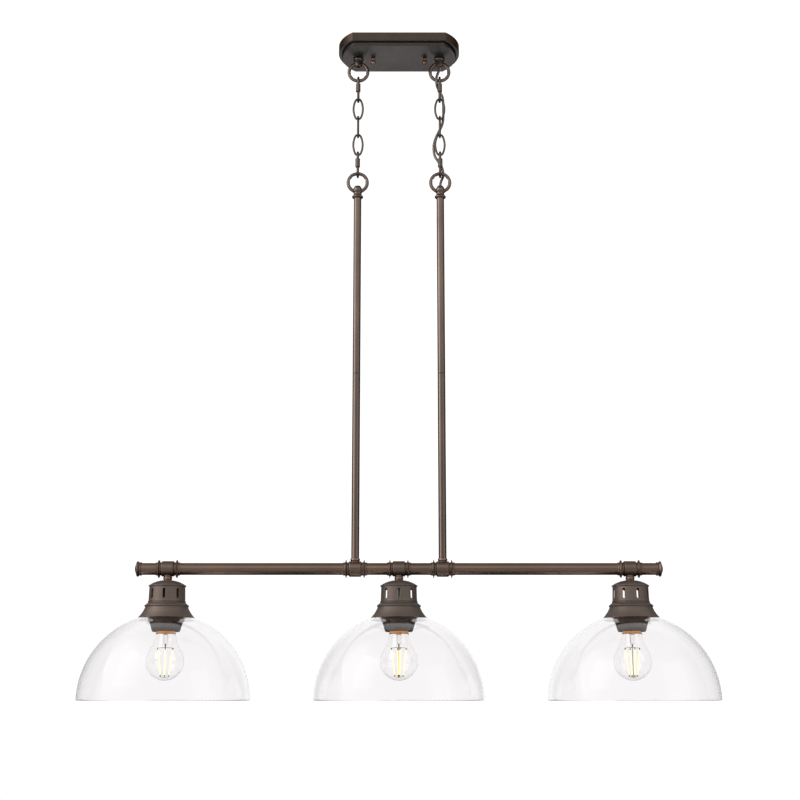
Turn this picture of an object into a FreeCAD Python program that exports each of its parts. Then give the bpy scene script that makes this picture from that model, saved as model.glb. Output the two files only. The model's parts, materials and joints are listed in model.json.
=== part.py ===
"""Linear island pendant: three glass domes on a bar, two rods, two chains and a ceiling canopy.

Millimetres. Z points up, X runs along the bar, and the origin is the centre of the mounting
strap's top face, which lies on the ceiling.
"""

import FreeCAD, Part
import math
import os

V = FreeCAD.Vector
X_AXIS = V(1, 0, 0)
Y_AXIS = V(0, 1, 0)
Z_AXIS = V(0, 0, 1)
ORIGIN = V(0, 0, 0)

# Clearances
seat_gap = 0.3          # between pieces that move against each other
thread_gap = 0.05       # between a screwed piece and its hole

# Canopy pan
canopy_straight = 158.0     # length of each straight side
canopy_depth = 114.0
canopy_end_bulge = 25.0     # how far each arc end stands beyond the straight sides
canopy_rim_height = 15.0
canopy_step_inset = 5.5
canopy_step_height = 6.0
canopy_wall = 1.2
canopy_edge_radius = 1.8

# Mounting strap, studs and knobs
strap_length = 124.0
strap_width = 20.0
strap_thickness = 2.0
box_screw_spacing = 69.85
box_slot_width = 4.8
box_slot_length = 9.0
strap_centre_hole = 13.0
stud_spacing = 88.9
stud_diameter = 4.0
stud_nut_across_flats = 8.7
stud_nut_height = 3.2
stud_grip = 5.0             # length of stud inside the knob
knob_ball_diameter = 9.0
knob_neck_diameter = 6.2
knob_neck_length = 2.4
tip_flat = 0.4              # radius of the flat at a turned piece's tip
ground_screw_x = 16.0
ground_screw_diameter = 3.6
ground_screw_head = 8.0

# Hang loops, cast rings on the canopy and on the rods
loop_spacing = 140.0
ring_outer_diameter = 38.0
ring_wire = 5.8
notch_diameter = 4.6
notch_depth = 1.2
loop_bore = 7.0
nipple_diameter = 9.8
loop_flange_diameter = 17.8
loop_flange_height = 6.0
loop_collar_diameter = 13.0
loop_collar_length = 9.0
ring_drop = 25.0            # from the canopy's bottom face to the canopy ring's centre
nipple_above_canopy = 10.0
loop_nut_across_flats = 14.3
loop_nut_height = 4.0
loop_washer_diameter = 19.0
loop_washer_thickness = 1.2
boss_height = 12.4          # from the ring's outer edge up to the dome's top
boss_diameter = 14.6
boss_top_diameter = 9.4
boss_flange_diameter = 17.2
boss_flange_rise = 2.0      # from the ring's outer edge up to the flange
boss_flange_height = 1.4
neck_diameter = 14.6
neck_height = 4.4
bushing_length = 6.0
bushing_lip = 0.8
bushing_mouth = 1.2         # how far the bushing's bore flares at its lip
bushing_flare = 5.0         # length of the flare

# Chain links
oval_inner_length = 33.0
oval_outer_width = 19.6
oval_wire = 3.6
oval_end_radius = 5.2       # of the wire's centre line at each end
connector_inner_length = 39.2
connector_outer_width = 20.0
connector_wire = 4.0
sleeve_diameter = 8.0
sleeve_length = 16.0
sleeve_chamfer = 1.0

# Rods
rod_diameter = 12.7
rod_wall = 1.3
rod_segment_length = 304.8
rod_edge_chamfer = 0.5
joiner_length = 30.0
collar_diameter = 19.0
collar_height = 4.4
foot_diameter = 15.6
foot_height = 6.0
foot_socket_depth = 1.6

# Bar, tees and end caps
bar_diameter = 19.05
bar_wall = 1.3
lamp_spacing = 369.0
tee_body_diameter = 25.0
tee_body_length = 20.5
tee_body_round = 2.4        # radius of its ends
tee_ring_diameter = 28.2
tee_ring_width = 4.4
tee_ring_crest = 1.5        # width of the ring's flat edge
tee_ring_place = 14.4       # from the tee's centre
tee_hub_diameter = 20.8
tee_hub_half_length = 19.4
tee_socket_start = 8.0      # where the bar tube stops inside the tee
tee_bore = 9.8
hub_chamfer = 0.5
spot_face = 1.5             # width of the flat cut round the branch seat
branch_diameter = 14.8
branch_seat = 11.5          # from the bar's axis to the face that a rod or lamp seats on
bar_end_reach = 52.5        # from the outer tee's centre to the end cap's tip
end_disc_diameter = 25.0
end_disc_width = 4.6
end_bead_diameter = 21.9
end_bead_width = 2.2
end_groove_width = 0.6
end_dome_height = 2.8
end_dome_diameter = 18.0
end_plug_length = 10.0

# Lamp metalwork, heights counted down from the branch seat
coupling_diameter = 14.4
coupling_height = 6.8
coupling_land = 0.9         # height of the straight part at each end and at the widest place
coupling_land_diameter = 12.8
lamp_nipple_rise = 9.0
cap_dome_height = 8.1
cap_lip_diameter = 59.4
cap_lip_height = 1.6
cap_neck_diameter = 56.6
cap_bottom_diameter = 58.0
cap_height = 32.0
metal_wall = 1.2
slot_count = 8
slot_width = 4.5
slot_length = 16.0
slot_above_bottom = 2.6
slot_turn = {"left": -1.0, "centre": 0.0, "right": 14.5}
holder_groove_diameter = 60.0
holder_bead_diameter = 70.4
holder_bead_drop = 8.4      # from the holder's top to the middle of its bead
holder_waist_diameter = 67.8
holder_waist_drop = 10.7
holder_rim_diameter = 88.8
holder_height = 26.9
nut_across_flats = 14.3
nut_height = 4.6

# Lampholder, retaining ring and glass
lampholder_diameter = 40.0
lampholder_head = 2.6       # gap from the holder's web down to the lampholder's top face
lampholder_floor = 12.0
lampholder_shoulder = 4.0
shell_wall = 0.6
contact_height = 1.9
shell_head_gap = 4.0        # from the lampholder's floor down to the shell
shell_lip = 0.6             # thickness and overhang of the shell's rolled lip
ring_flange_diameter = 57.6
ring_flange_height = 2.6
ring_waist_diameter = 46.6
ring_waist_drop = 5.4
ring_foot_diameter = 42.4
ring_height = 16.8
glass_diameter = 270.0
glass_thickness = 3.0
glass_flat_diameter = 88.0
glass_hole_diameter = 44.0

# Bulb
bulb_diameter = 60.0
bulb_length = 107.0
bulb_neck_diameter = 32.0   # just under its base
bulb_neck_rise = 72.0
bulb_seal_diameter = 25.0   # inside the base
bulb_side_angle = 34.0      # above the globe's middle, where its curve turns to the neck
bulb_wall = 0.8
base_diameter = 26.2
base_skirt_diameter = 29.4
base_skirt_height = 2.2
base_shell_length = 27.0
base_cone_height = 4.4
base_tip_diameter = 10.0
base_overlap = 4.0          # how far the glass neck reaches into the base
thread_pitch = 3.6
thread_depth = 0.8
stem_diameter = 7.0
stem_flare_diameter = 21.0
stem_length = 23.0
filament_count = 4
filament_diameter = 2.0
filament_length = 44.0
filament_circle_top = 19.0
filament_circle_foot = 9.0
filament_rise = 6.5         # lowest end of the filaments above the globe's lowest point
support_wire = 0.7
support_slope = 1.2         # how far a support wire climbs or falls to its filament

# Cord and leads
cord_diameter = 4.8
lead_diameter = 2.1
lead_circle = 2.56          # diameter of the circle on which the three leads leave the cord
lead_height = 5.0           # of the leads above the loop's nipple
lead_first_bend = 8.0       # from the loop's axis towards the connectors
lead_second_bend = 26.0
ground_lead_bend = 11.0
lamp_lead_diameter = 4.0
connector_cap_length = 22.0
connector_cap_diameter = 12.0
connector_mouth_x = 24.0
connector_y = 26.0
run_share = 0.45            # share of the shorter run that each arc may use

# Levels that follow from the sizes above
canopy_height = canopy_rim_height + canopy_step_height
canopy_face = -canopy_height
ring_radius = (ring_outer_diameter - ring_wire) / 2
ring_inner_radius = ring_outer_diameter / 2 - ring_wire
canopy_ring_z = canopy_face - ring_drop
loop_x = loop_spacing / 2

link_sizes = [connector_inner_length] + 3 * [oval_inner_length] + [connector_inner_length]
link_centres = []
seat_z = canopy_ring_z - ring_inner_radius
for inner_length in link_sizes:
    link_centres.append(seat_z + seat_gap - inner_length / 2)
    seat_z += seat_gap - inner_length
rod_ring_z = seat_z + seat_gap - ring_inner_radius
rod_ring_foot = rod_ring_z - ring_outer_diameter / 2
collar_top = rod_ring_foot - neck_height
rod_top = collar_top - collar_height
rod_bottom = rod_top - 2 * rod_segment_length
foot_bottom = rod_bottom + foot_socket_depth - foot_height
bar_z = foot_bottom - branch_seat
lamp_seat = bar_z - branch_seat
cap_top = lamp_seat - coupling_height
cap_bottom = cap_top - cap_height
holder_bottom = cap_bottom - holder_height
glass_top = holder_bottom
glass_radius = glass_diameter / 2
glass_rim = glass_top - math.sqrt(glass_radius ** 2 - (glass_flat_diameter / 2) ** 2)
lampholder_top = cap_bottom - metal_wall - lampholder_head
bulb_top = lampholder_top - lampholder_floor - contact_height - seat_gap
bulb_foot = bulb_top - bulb_length
shell_outer_radius = base_diameter / 2 + seat_gap + shell_wall
shell_top = bulb_top - base_cone_height
shell_foot = shell_top - base_shell_length
neck_top = shell_foot + base_overlap
lampholder_bottom = shell_foot + base_skirt_height + seat_gap + shell_lip
stem_foot = neck_top - stem_length
lamp_places = {"left": -lamp_spacing, "centre": 0.0, "right": lamp_spacing}
connector_z = canopy_face + canopy_wall + connector_cap_diameter / 2 + seat_gap


def flat(point):
    """A profile's (radius, height) pair as a point in the XZ plane."""
    return V(point[0], 0, point[1])


def profile(start, *steps):
    """A face in the XZ plane. A step is a point, or (middle, end) for an arc."""
    edges = []
    here = start
    for step in steps:
        if isinstance(step[0], tuple):
            middle, end = step
            edges.append(Part.Arc(flat(here), flat(middle), flat(end)).toShape())
        else:
            end = step
            edges.append(Part.LineSegment(flat(here), flat(end)).toShape())
        here = end
    return Part.Face(Part.Wire(edges))


def turned(face):
    """The solid that a profile makes when it turns round the Z axis."""
    return face.revolve(ORIGIN, Z_AXIS, 360)


def along_x(shape, turn=90):
    """A piece turned about Z, laid so that its axis runs along X."""
    return shape.rotated(ORIGIN, Y_AXIS, turn)


def rod(diameter, low, high, x=0.0, y=0.0):
    """An upright cylinder between two levels."""
    return Part.makeCylinder(diameter / 2, high - low, V(x, y, low))


def pipe(outer, bore, low, high):
    """An upright tube between two levels."""
    return rod(outer, low, high).cut(rod(bore, low - 1, high + 1))


def hexagon_nut(across_flats, height, low, bore):
    """A hexagon nut whose corners are bevelled, standing on a level."""
    corner = across_flats / math.sqrt(3)
    points = [V(corner * math.cos(math.radians(a)), corner * math.sin(math.radians(a)), low)
              for a in range(0, 361, 60)]
    block = Part.Face(Part.makePolygon(points)).extrude(V(0, 0, height))
    bevel = (corner - across_flats / 2) * 0.9
    shaper = turned(profile((0, low), (corner - bevel, low), (corner, low + bevel),
                            (corner, low + height - bevel), (corner - bevel, low + height),
                            (0, low + height), (0, low)))
    return block.common(shaper).cut(rod(bore, low - 1, low + height + 1))


def bead(diameter, low, high, bore, flatness=0.72):
    """A turned bead with flat ends and a round edge."""
    edge = diameter / 2
    face = edge * flatness
    middle = (low + high) / 2
    return turned(profile((bore / 2, low), (face, low), ((edge, middle), (face, high)),
                          (bore / 2, high), (bore / 2, low)))


def path_through(points):
    """Straight runs between points, joined by tangent arcs as large as the runs allow."""
    edges = []
    radii = []
    here = points[0]
    for before, corner, after in zip(points, points[1:], points[2:]):
        back = before - corner
        ahead = after - corner
        half_turn = (math.pi - back.getAngle(ahead)) / 2
        cut = run_share * min(back.Length, ahead.Length)
        radius = cut / math.tan(half_turn)
        radii.append(radius)
        back.normalize()
        ahead.normalize()
        inward = back + ahead
        inward.normalize()
        middle = corner + inward * (radius / math.cos(half_turn) - radius)
        arc_start = corner + back * cut
        arc_end = corner + ahead * cut
        edges.append(Part.LineSegment(here, arc_start).toShape())
        edges.append(Part.Arc(arc_start, middle, arc_end).toShape())
        here = arc_end
    edges.append(Part.LineSegment(here, points[-1]).toShape())
    return Part.Wire(edges), radii


def tube_through(points, diameter):
    """A solid round tube along a route, with its path's length and least radius."""
    path, radii = path_through(points)
    start = points[0]
    section = Part.Wire(Part.makeCircle(diameter / 2, start, points[1] - start))
    tube = path.makePipeShell([section], True, False)
    return tube, path.Length, min(radii)


def canopy_outline(inset, level):
    """The canopy's plan at a level: two straight sides and two arc ends, drawn inwards."""
    half_depth = canopy_depth / 2
    end_radius = (half_depth ** 2 + canopy_end_bulge ** 2) / (2 * canopy_end_bulge)
    centre_x = canopy_straight / 2 + canopy_end_bulge - end_radius
    radius = end_radius - inset
    side_y = half_depth - inset
    corner_x = centre_x + math.sqrt(radius ** 2 - side_y ** 2)
    tip_x = centre_x + radius
    edges = []
    for side in (1, -1):
        start = V(side * corner_x, -side * side_y, level)
        middle = V(side * tip_x, 0, level)
        end = V(side * corner_x, side * side_y, level)
        edges.append(Part.Arc(start, middle, end).toShape())
        edges.append(Part.LineSegment(end, V(-side * corner_x, side * side_y, level)).toShape())
    return Part.Face(Part.Wire(edges))


def edges_at(shape, level):
    """The edges of a shape that lie wholly on one level."""
    return [e for e in shape.Edges
            if all(abs(v.Point.z - level) < 0.01 for v in e.Vertexes)]


def flat_rims(cylinder):
    """The two round rims of an upright cylinder."""
    box = cylinder.BoundBox
    return edges_at(cylinder, box.ZMin) + edges_at(cylinder, box.ZMax)


def canopy_tier(inset, top, bottom):
    """One tier of the canopy's outside, with a rounded lower edge."""
    block = canopy_outline(inset, bottom).extrude(V(0, 0, top - bottom))
    return block.makeFillet(canopy_edge_radius, edges_at(block, bottom))


def canopy_pan():
    """The drawn steel pan, open to the ceiling."""
    rim_bottom = -canopy_rim_height
    outside = canopy_tier(0, 0, rim_bottom)
    outside = outside.fuse(canopy_tier(canopy_step_inset, rim_bottom + 1, canopy_face))
    deep = canopy_step_height + canopy_rim_height - canopy_wall
    inside = canopy_outline(canopy_wall, rim_bottom + canopy_wall).extrude(
        V(0, 0, canopy_rim_height))
    inside = inside.fuse(canopy_outline(canopy_step_inset + canopy_wall, -deep).extrude(
        V(0, 0, deep + 1)))
    pan = outside.cut(inside)
    for x in (-stud_spacing / 2, stud_spacing / 2):
        pan = pan.cut(rod(stud_diameter + 1, canopy_face - 1, 0, x))
    for x in (-loop_x, loop_x):
        pan = pan.cut(rod(nipple_diameter + 2 * thread_gap, canopy_face - 1, 0, x))
    return pan.removeSplitter()


def slot_through_strap(x):
    """The cutter for one outlet-box screw slot, which runs along X."""
    half = (box_slot_length - box_slot_width) / 2
    low = -strap_thickness - 1
    block = Part.makeBox(2 * half, box_slot_width, strap_thickness + 2,
                         V(x - half, -box_slot_width / 2, low))
    for end in (x - half, x + half):
        block = block.fuse(rod(box_slot_width, low, 1, end))
    return block


def mounting_strap():
    """The steel crossbar that is screwed to the outlet box."""
    end_radius = strap_width * 0.3
    strap = Part.makeBox(strap_length, strap_width, strap_thickness,
                         V(-strap_length / 2, -strap_width / 2, -strap_thickness))
    corners = [e for e in strap.Edges if abs(e.tangentAt(e.FirstParameter).z) > 0.9]
    strap = strap.makeFillet(end_radius, corners)
    below = -strap_thickness - 1
    strap = strap.cut(rod(strap_centre_hole, below, 1))
    strap = strap.cut(rod(ground_screw_diameter + 2 * thread_gap, below, 1, ground_screw_x))
    for side in (-1, 1):
        strap = strap.cut(slot_through_strap(side * box_screw_spacing / 2))
        strap = strap.cut(rod(stud_diameter + 2 * thread_gap, below, 1, side * stud_spacing / 2))
    return strap


def ground_screw():
    """The green grounding screw under the strap."""
    head_top = -strap_thickness
    head = turned(profile((0, head_top), (ground_screw_head / 2, head_top),
                          (ground_screw_head / 2, head_top - 1.4),
                          ((ground_screw_head * 0.3, head_top - 2.4), (tip_flat, head_top - 2.8)),
                          (0, head_top - 2.8), (0, head_top)))
    slot = Part.makeBox(ground_screw_head, 1.0, 1.2, V(-ground_screw_head / 2, -0.5, head_top - 3))
    screw = head.cut(slot).fuse(rod(ground_screw_diameter, head_top - 0.5, -0.2))
    return screw.translated(V(ground_screw_x, 0, 0))


def canopy_stud():
    """A threaded stud from the strap down into its knob."""
    foot = canopy_face - seat_gap - stud_grip
    edge = stud_diameter / 2
    bevel = edge * 0.25
    return turned(profile((0, foot), (edge - bevel, foot), (edge, foot + bevel),
                          (edge, -0.2 - bevel), (edge - bevel, -0.2), (0, -0.2), (0, foot)))


def stud_nut():
    """The lock nut that holds a stud to the strap."""
    return hexagon_nut(stud_nut_across_flats, stud_nut_height,
                       -strap_thickness - stud_nut_height, stud_diameter + 2 * thread_gap)


def ball_knob():
    """A knob with a short neck and a ball, bored for its stud."""
    top = canopy_face - seat_gap
    neck = knob_neck_diameter / 2
    ball = knob_ball_diameter / 2
    neck_foot = top - knob_neck_length
    ball_z = neck_foot - math.sqrt(ball ** 2 - (neck * 0.72) ** 2)
    ball_foot = ball_z - math.sqrt(ball ** 2 - tip_flat ** 2)
    body = turned(profile((0, top), (neck, top), (neck, top - 0.9), (neck * 0.72, neck_foot),
                          ((ball, ball_z), (tip_flat, ball_foot)), (0, ball_foot), (0, top)))
    bore_foot = top - stud_grip - 1
    return body.cut(rod(stud_diameter + 2 * thread_gap, bore_foot, top + 1))


def notched_ring(notch_side):
    """A cast ring in the XZ plane. Its inner edge has notches on one half."""
    ring = Part.makeTorus(ring_radius, ring_wire / 2, ORIGIN, Y_AXIS)
    reach = ring_inner_radius + notch_depth - notch_diameter / 2
    for angle in (22, 55, 125, 158):
        place = math.radians(angle)
        centre = V(reach * math.cos(place), -ring_wire, notch_side * reach * math.sin(place))
        ring = ring.cut(Part.makeCylinder(notch_diameter / 2, 2 * ring_wire, centre, Y_AXIS))
    return ring


def canopy_loop():
    """Flange, collar, ring and threaded nipple in one casting, bored for the cord."""
    flange = loop_flange_diameter / 2
    collar = loop_collar_diameter / 2
    flange_foot = canopy_face - loop_flange_height
    collar_foot = flange_foot - loop_collar_length
    stem = turned(profile((0, canopy_face), (flange * 0.9, canopy_face),
                          ((flange, canopy_face - 2), (flange * 0.86, canopy_face - 4)),
                          (collar * 1.12, canopy_face - 4.4), (collar * 1.12, flange_foot),
                          (collar, flange_foot - 0.6), (collar, collar_foot + 1.2),
                          (collar - 1.2, collar_foot), (0, collar_foot), (0, canopy_face)))
    ring = notched_ring(-1).translated(V(0, 0, canopy_ring_z))
    nipple = rod(nipple_diameter, canopy_face - 1, canopy_face + nipple_above_canopy)
    bore = rod(loop_bore, collar_foot - 1, canopy_face + nipple_above_canopy + 1)
    return stem.fuse(ring).fuse(nipple).cut(bore).removeSplitter()


def loop_fastening():
    """The washer and nut that hold a hang loop to the canopy."""
    plate_top = canopy_face + canopy_wall
    washer = pipe(loop_washer_diameter, nipple_diameter + 2 * thread_gap,
                  plate_top, plate_top + loop_washer_thickness)
    nut = hexagon_nut(loop_nut_across_flats, loop_nut_height,
                      plate_top + loop_washer_thickness, nipple_diameter + 2 * thread_gap)
    return [washer, nut]


def rod_loop():
    """Ring, domed boss, neck and threaded nipple in one casting, bored for the cord."""
    boss = boss_diameter / 2
    top = boss_top_diameter / 2
    boss_top = rod_ring_foot + boss_height
    neck = neck_diameter / 2
    flange = boss_flange_diameter / 2
    flange_foot = rod_ring_foot + boss_flange_rise
    flange_top = flange_foot + boss_flange_height
    boss_foot = flange_top + 1.4
    stem = turned(profile((0, boss_top), (top, boss_top),
                          ((top + (boss - top) * 0.76, boss_top - (boss_top - boss_foot) * 0.4),
                           (boss, boss_foot)),
                          (boss, flange_top + 0.5), (flange - 0.4, flange_top), (flange, flange_top - 0.4),
                          (flange, flange_foot + 0.4), (flange - 0.4, flange_foot),
                          ((neck, flange_foot - 1), (neck, collar_top + 0.8)),
                          (neck + 0.5, collar_top), (0, collar_top), (0, boss_top)))
    ring = notched_ring(1).translated(V(0, 0, rod_ring_z))
    nipple_foot = rod_top - joiner_length / 2
    nipple = rod(nipple_diameter, nipple_foot, collar_top + 1)
    bore = rod(loop_bore, nipple_foot - 1, boss_top + 1)
    return stem.fuse(ring).fuse(nipple).cut(bore).removeSplitter()


def cord_bushing():
    """The plastic liner at a loop's mouth, with its flared lip up and its mouth at zero."""
    bore = cord_diameter / 2 + thread_gap
    body = loop_bore / 2 - thread_gap
    lip = loop_bore / 2 + bushing_lip
    mouth = bore + bushing_mouth
    flare_foot = bushing_lip - bushing_flare
    return turned(profile((bore, -bushing_length), (body, -bushing_length), (body, 0), (lip, 0),
                          ((lip - 0.15, bushing_lip * 0.7), (lip - 0.5, bushing_lip)),
                          (mouth, bushing_lip), (bore, flare_foot), (bore, -bushing_length)))


def oval_link(in_xz_plane):
    """A chain link bent from wire: long side arcs and tight end arcs."""
    half_length = (oval_inner_length + oval_wire) / 2
    half_width = (oval_outer_width - oval_wire) / 2
    end = oval_end_radius
    side = ((half_length ** 2 + half_width ** 2 - 2 * half_length * end)
            / (2 * (half_width - end)))
    side_x = side - half_width
    end_z = half_length - end
    reach = math.hypot(side_x, end_z)
    joint = V(end * side_x / reach, 0, end_z + end * end_z / reach)

    def mirror(point, x, z):
        return V(point.x * x, 0, point.z * z)

    arcs = [(mirror(joint, 1, -1), V(half_width, 0, 0), joint),
            (joint, V(0, 0, half_length), mirror(joint, -1, 1)),
            (mirror(joint, -1, 1), V(-half_width, 0, 0), mirror(joint, -1, -1)),
            (mirror(joint, -1, -1), V(0, 0, -half_length), mirror(joint, 1, -1))]
    path = Part.Wire([Part.Arc(*points).toShape() for points in arcs])
    first = path.Edges[0]
    section = Part.Wire(Part.makeCircle(oval_wire / 2, arcs[0][0],
                                        first.tangentAt(first.FirstParameter)))
    link = path.makePipeShell([section], True, False)
    return link if in_xz_plane else link.rotated(ORIGIN, Z_AXIS, 90)


def connector_link():
    """A quick link in the YZ plane and its screw sleeve, on the leg towards -Y."""
    bend = (connector_outer_width - connector_wire) / 2
    straight = (connector_inner_length + connector_wire) / 2 - bend

    def end_arc(side):
        return Part.Arc(V(0, side * bend, side * straight), V(0, 0, side * (straight + bend)),
                        V(0, -side * bend, side * straight)).toShape()

    def leg(y, start, end):
        return Part.LineSegment(V(0, y, start), V(0, y, end)).toShape()

    section = Part.Wire(Part.makeCircle(connector_wire / 2, V(0, bend, 0), Z_AXIS))
    path = Part.Wire([leg(bend, 0, straight), end_arc(1), leg(-bend, straight, -straight),
                      end_arc(-1), leg(bend, -straight, 0)])
    link = path.makePipeShell([section], True, False)
    edge = sleeve_diameter / 2
    half = sleeve_length / 2
    inner = connector_wire / 2 + thread_gap
    sleeve = turned(profile((inner, -half), (edge - sleeve_chamfer, -half),
                            (edge, -half + sleeve_chamfer), (edge, half - sleeve_chamfer),
                            (edge - sleeve_chamfer, half), (inner, half), (inner, -half)))
    return [link, sleeve.translated(V(0, -bend, 0))]


def rod_pair(x):
    """The two screwed-together segments of one rod."""
    segments = []
    for number in (1, 2):
        low = rod_top - number * rod_segment_length
        high = low + rod_segment_length
        edge = rod_diameter / 2
        bore = edge - rod_wall
        bevel = rod_edge_chamfer
        segment = turned(profile((bore, low), (edge - bevel, low), (edge, low + bevel),
                                 (edge, high - bevel), (edge - bevel, high), (bore, high),
                                 (bore, low)))
        segments.append(segment.translated(V(x, 0, 0)))
    return segments


def rod_joiner():
    """The hollow threaded nipple inside a rod's joint."""
    middle = rod_top - rod_segment_length
    return pipe(nipple_diameter, loop_bore, middle - joiner_length / 2, middle + joiner_length / 2)


def rod_collar():
    """The bead ring on which a rod loop sits."""
    return bead(collar_diameter, rod_top, collar_top, nipple_diameter + 2 * thread_gap, 0.82)


def rod_foot():
    """The coppery bead between a rod and its tee."""
    body = bead(foot_diameter, foot_bottom, foot_bottom + foot_height, tee_bore)
    socket = rod(rod_diameter + 2 * thread_gap, rod_bottom, foot_bottom + foot_height + 1)
    return body.cut(socket)


def tee_ring():
    """The raised ring on a tee's hub: hollow flanks up to a narrow edge."""
    hub = tee_hub_diameter / 2
    crest = tee_ring_diameter / 2
    half = tee_ring_width / 2
    land = tee_ring_crest / 2
    knee = (hub + (crest - hub) * 0.25, land + (half - land) * 0.3)
    return turned(profile((0, -half), (hub, -half), ((knee[0], -knee[1]), (crest - 0.3, -land)),
                          (crest, -land + 0.3), (crest, land - 0.3), (crest - 0.3, land),
                          (knee, (hub, half)), (0, half), (0, -half)))


def tee():
    """A cast tee along X with two ringed hubs, its seat facing up."""
    edge = tee_body_diameter / 2
    half = tee_body_length / 2
    round_edge = tee_body_round
    shoulder = round_edge * (1 - math.sqrt(0.5))
    shape = turned(profile(
        (0, -half), (edge - round_edge, -half),
        ((edge - shoulder, -half + shoulder), (edge, -half + round_edge)), (edge, half - round_edge),
        ((edge - shoulder, half - shoulder), (edge - round_edge, half)), (0, half), (0, -half)))
    hub_end = tee_hub_half_length
    hub = rod(tee_hub_diameter, -hub_end, hub_end)
    shape = shape.fuse(hub.makeChamfer(hub_chamfer, flat_rims(hub)))
    for place in (-tee_ring_place, tee_ring_place):
        shape = shape.fuse(tee_ring().translated(V(0, 0, place)))
    shape = along_x(shape)
    shape = shape.fuse(rod(branch_diameter, 0, branch_seat))
    shape = shape.cut(rod(branch_diameter + 2 * spot_face, branch_seat, 2 * branch_seat))
    shape = shape.cut(rod(tee_bore, 0, branch_seat + 1))
    shape = shape.cut(along_x(rod(tee_bore, -hub_end - 1, hub_end + 1)))
    for sign in (-1, 1):
        low, high = sorted((sign * tee_socket_start, sign * (hub_end + 1)))
        shape = shape.cut(along_x(rod(bar_diameter + 2 * thread_gap, low, high)))
    return shape.removeSplitter()


def end_levels():
    """Distances from the outer tee's centre to the end cap's faces."""
    disc_start = bar_end_reach - end_dome_height - end_disc_width
    return disc_start, disc_start - end_groove_width - end_bead_width


def bar_tube(start, end):
    """One length of the horizontal bar."""
    tube = pipe(bar_diameter, bar_diameter - 2 * bar_wall, start, end)
    return along_x(tube).translated(V(0, 0, bar_z))


def bar_tubes():
    """The four lengths between the five tees and the short stub at each end."""
    places = [-lamp_spacing, -loop_x, 0.0, loop_x, lamp_spacing]
    tubes = [bar_tube(a + tee_socket_start, b - tee_socket_start)
             for a, b in zip(places, places[1:])]
    start = lamp_spacing + tee_socket_start
    end = lamp_spacing + end_levels()[1]
    return tubes + [bar_tube(start, end), bar_tube(-end, -start)]


def end_cap():
    """The turned plug, bead, disc and domed tip that close the bar."""
    disc_start, bead_start = end_levels()
    plug = bar_diameter / 2 - bar_wall - thread_gap
    bead_edge = end_bead_diameter / 2
    disc_edge = end_disc_diameter / 2
    groove_edge = bead_edge - 1
    disc_middle = disc_start + end_disc_width * 0.6
    dome = end_dome_diameter / 2
    bead_end = bead_start + end_bead_width
    disc_end = disc_start + end_disc_width
    cap = turned(profile((0, bead_start - end_plug_length), (plug - 0.8, bead_start - end_plug_length),
                         (plug, bead_start - end_plug_length + 0.8), (plug, bead_start),
                         (bead_edge - 0.8, bead_start),
                         ((bead_edge, bead_start + end_bead_width / 2), (bead_edge - 0.8, bead_end)),
                         (groove_edge, bead_end), (groove_edge, disc_start),
                         ((disc_edge - 1.2, disc_start + end_disc_width * 0.3), (disc_edge, disc_middle)),
                         ((disc_edge - 0.6, disc_end - 0.4), (dome, disc_end)),
                         ((dome * 0.72, disc_end + end_dome_height * 0.62), (tip_flat, bar_end_reach)),
                         (0, bar_end_reach), (0, bead_start - end_plug_length)))
    return cap


def end_caps():
    """Both end caps in place."""
    right = along_x(end_cap()).translated(V(lamp_spacing, 0, bar_z))
    left = along_x(end_cap(), -90).translated(V(-lamp_spacing, 0, bar_z))
    return [left, right]


def coupling():
    """The coppery ball between a lamp tee and its cap."""
    bore = nipple_diameter / 2 + thread_gap
    edge = coupling_diameter / 2
    land = coupling_land_diameter / 2
    middle = (cap_top + lamp_seat) / 2
    low = cap_top + coupling_land
    high = lamp_seat - coupling_land
    band_foot = middle - coupling_land / 2
    band_top = middle + coupling_land / 2
    near = land + (edge - land) * 0.75
    return turned(profile((bore, cap_top), (land, cap_top), (land, low),
                          ((near, (low + band_foot) / 2), (edge, band_foot)), (edge, band_top),
                          ((near, (high + band_top) / 2), (land, high)), (land, lamp_seat),
                          (bore, lamp_seat), (bore, cap_top)))


def lamp_nipple():
    """The hollow nipple that carries cap, holder and lampholder."""
    high = lamp_seat + lamp_nipple_rise
    return pipe(nipple_diameter - 2 * thread_gap, loop_bore, lampholder_top - 5, high)


def vented_cap(turn):
    """The domed cap with upright slots round its side."""
    lip = cap_lip_diameter / 2
    neck = cap_neck_diameter / 2
    foot = cap_bottom_diameter / 2
    wall = metal_wall
    hole = nipple_diameter / 2 + thread_gap
    lip_top = cap_top - cap_dome_height
    lip_foot = lip_top - cap_lip_height
    shoulder = ((lip * 0.62, cap_top - cap_dome_height * 0.3), (lip - 0.4, lip_top))
    inner_shoulder = ((lip * 0.6, cap_top - cap_dome_height * 0.3 - wall),
                      (hole + 2, cap_top - wall))
    shell = turned(profile((hole, cap_top), (hole + 2, cap_top), shoulder,
                           ((lip + 0.3, (lip_top + lip_foot) / 2), (lip - 0.4, lip_foot)),
                           (neck, lip_foot - 0.8), (foot, cap_bottom), (foot - wall, cap_bottom),
                           (neck - wall, lip_foot - 0.8), (neck - wall, lip_top - wall),
                           inner_shoulder, (hole, cap_top - wall), (hole, cap_top)))
    low = cap_bottom + slot_above_bottom + slot_width / 2
    high = low + slot_length - slot_width
    cutter = Part.makeBox(foot, slot_width, high - low, V(0, -slot_width / 2, low))
    for level in (low, high):
        end = Part.makeCylinder(slot_width / 2, foot, V(0, 0, level), X_AXIS)
        cutter = cutter.fuse(end)
    cutter = cutter.cut(rod(cap_neck_diameter - 8, low - 10, high + 10))
    for number in range(slot_count):
        angle = -90 + turn + number * 360 / slot_count
        shell = shell.cut(cutter.rotated(ORIGIN, Z_AXIS, angle))
    return shell


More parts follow.
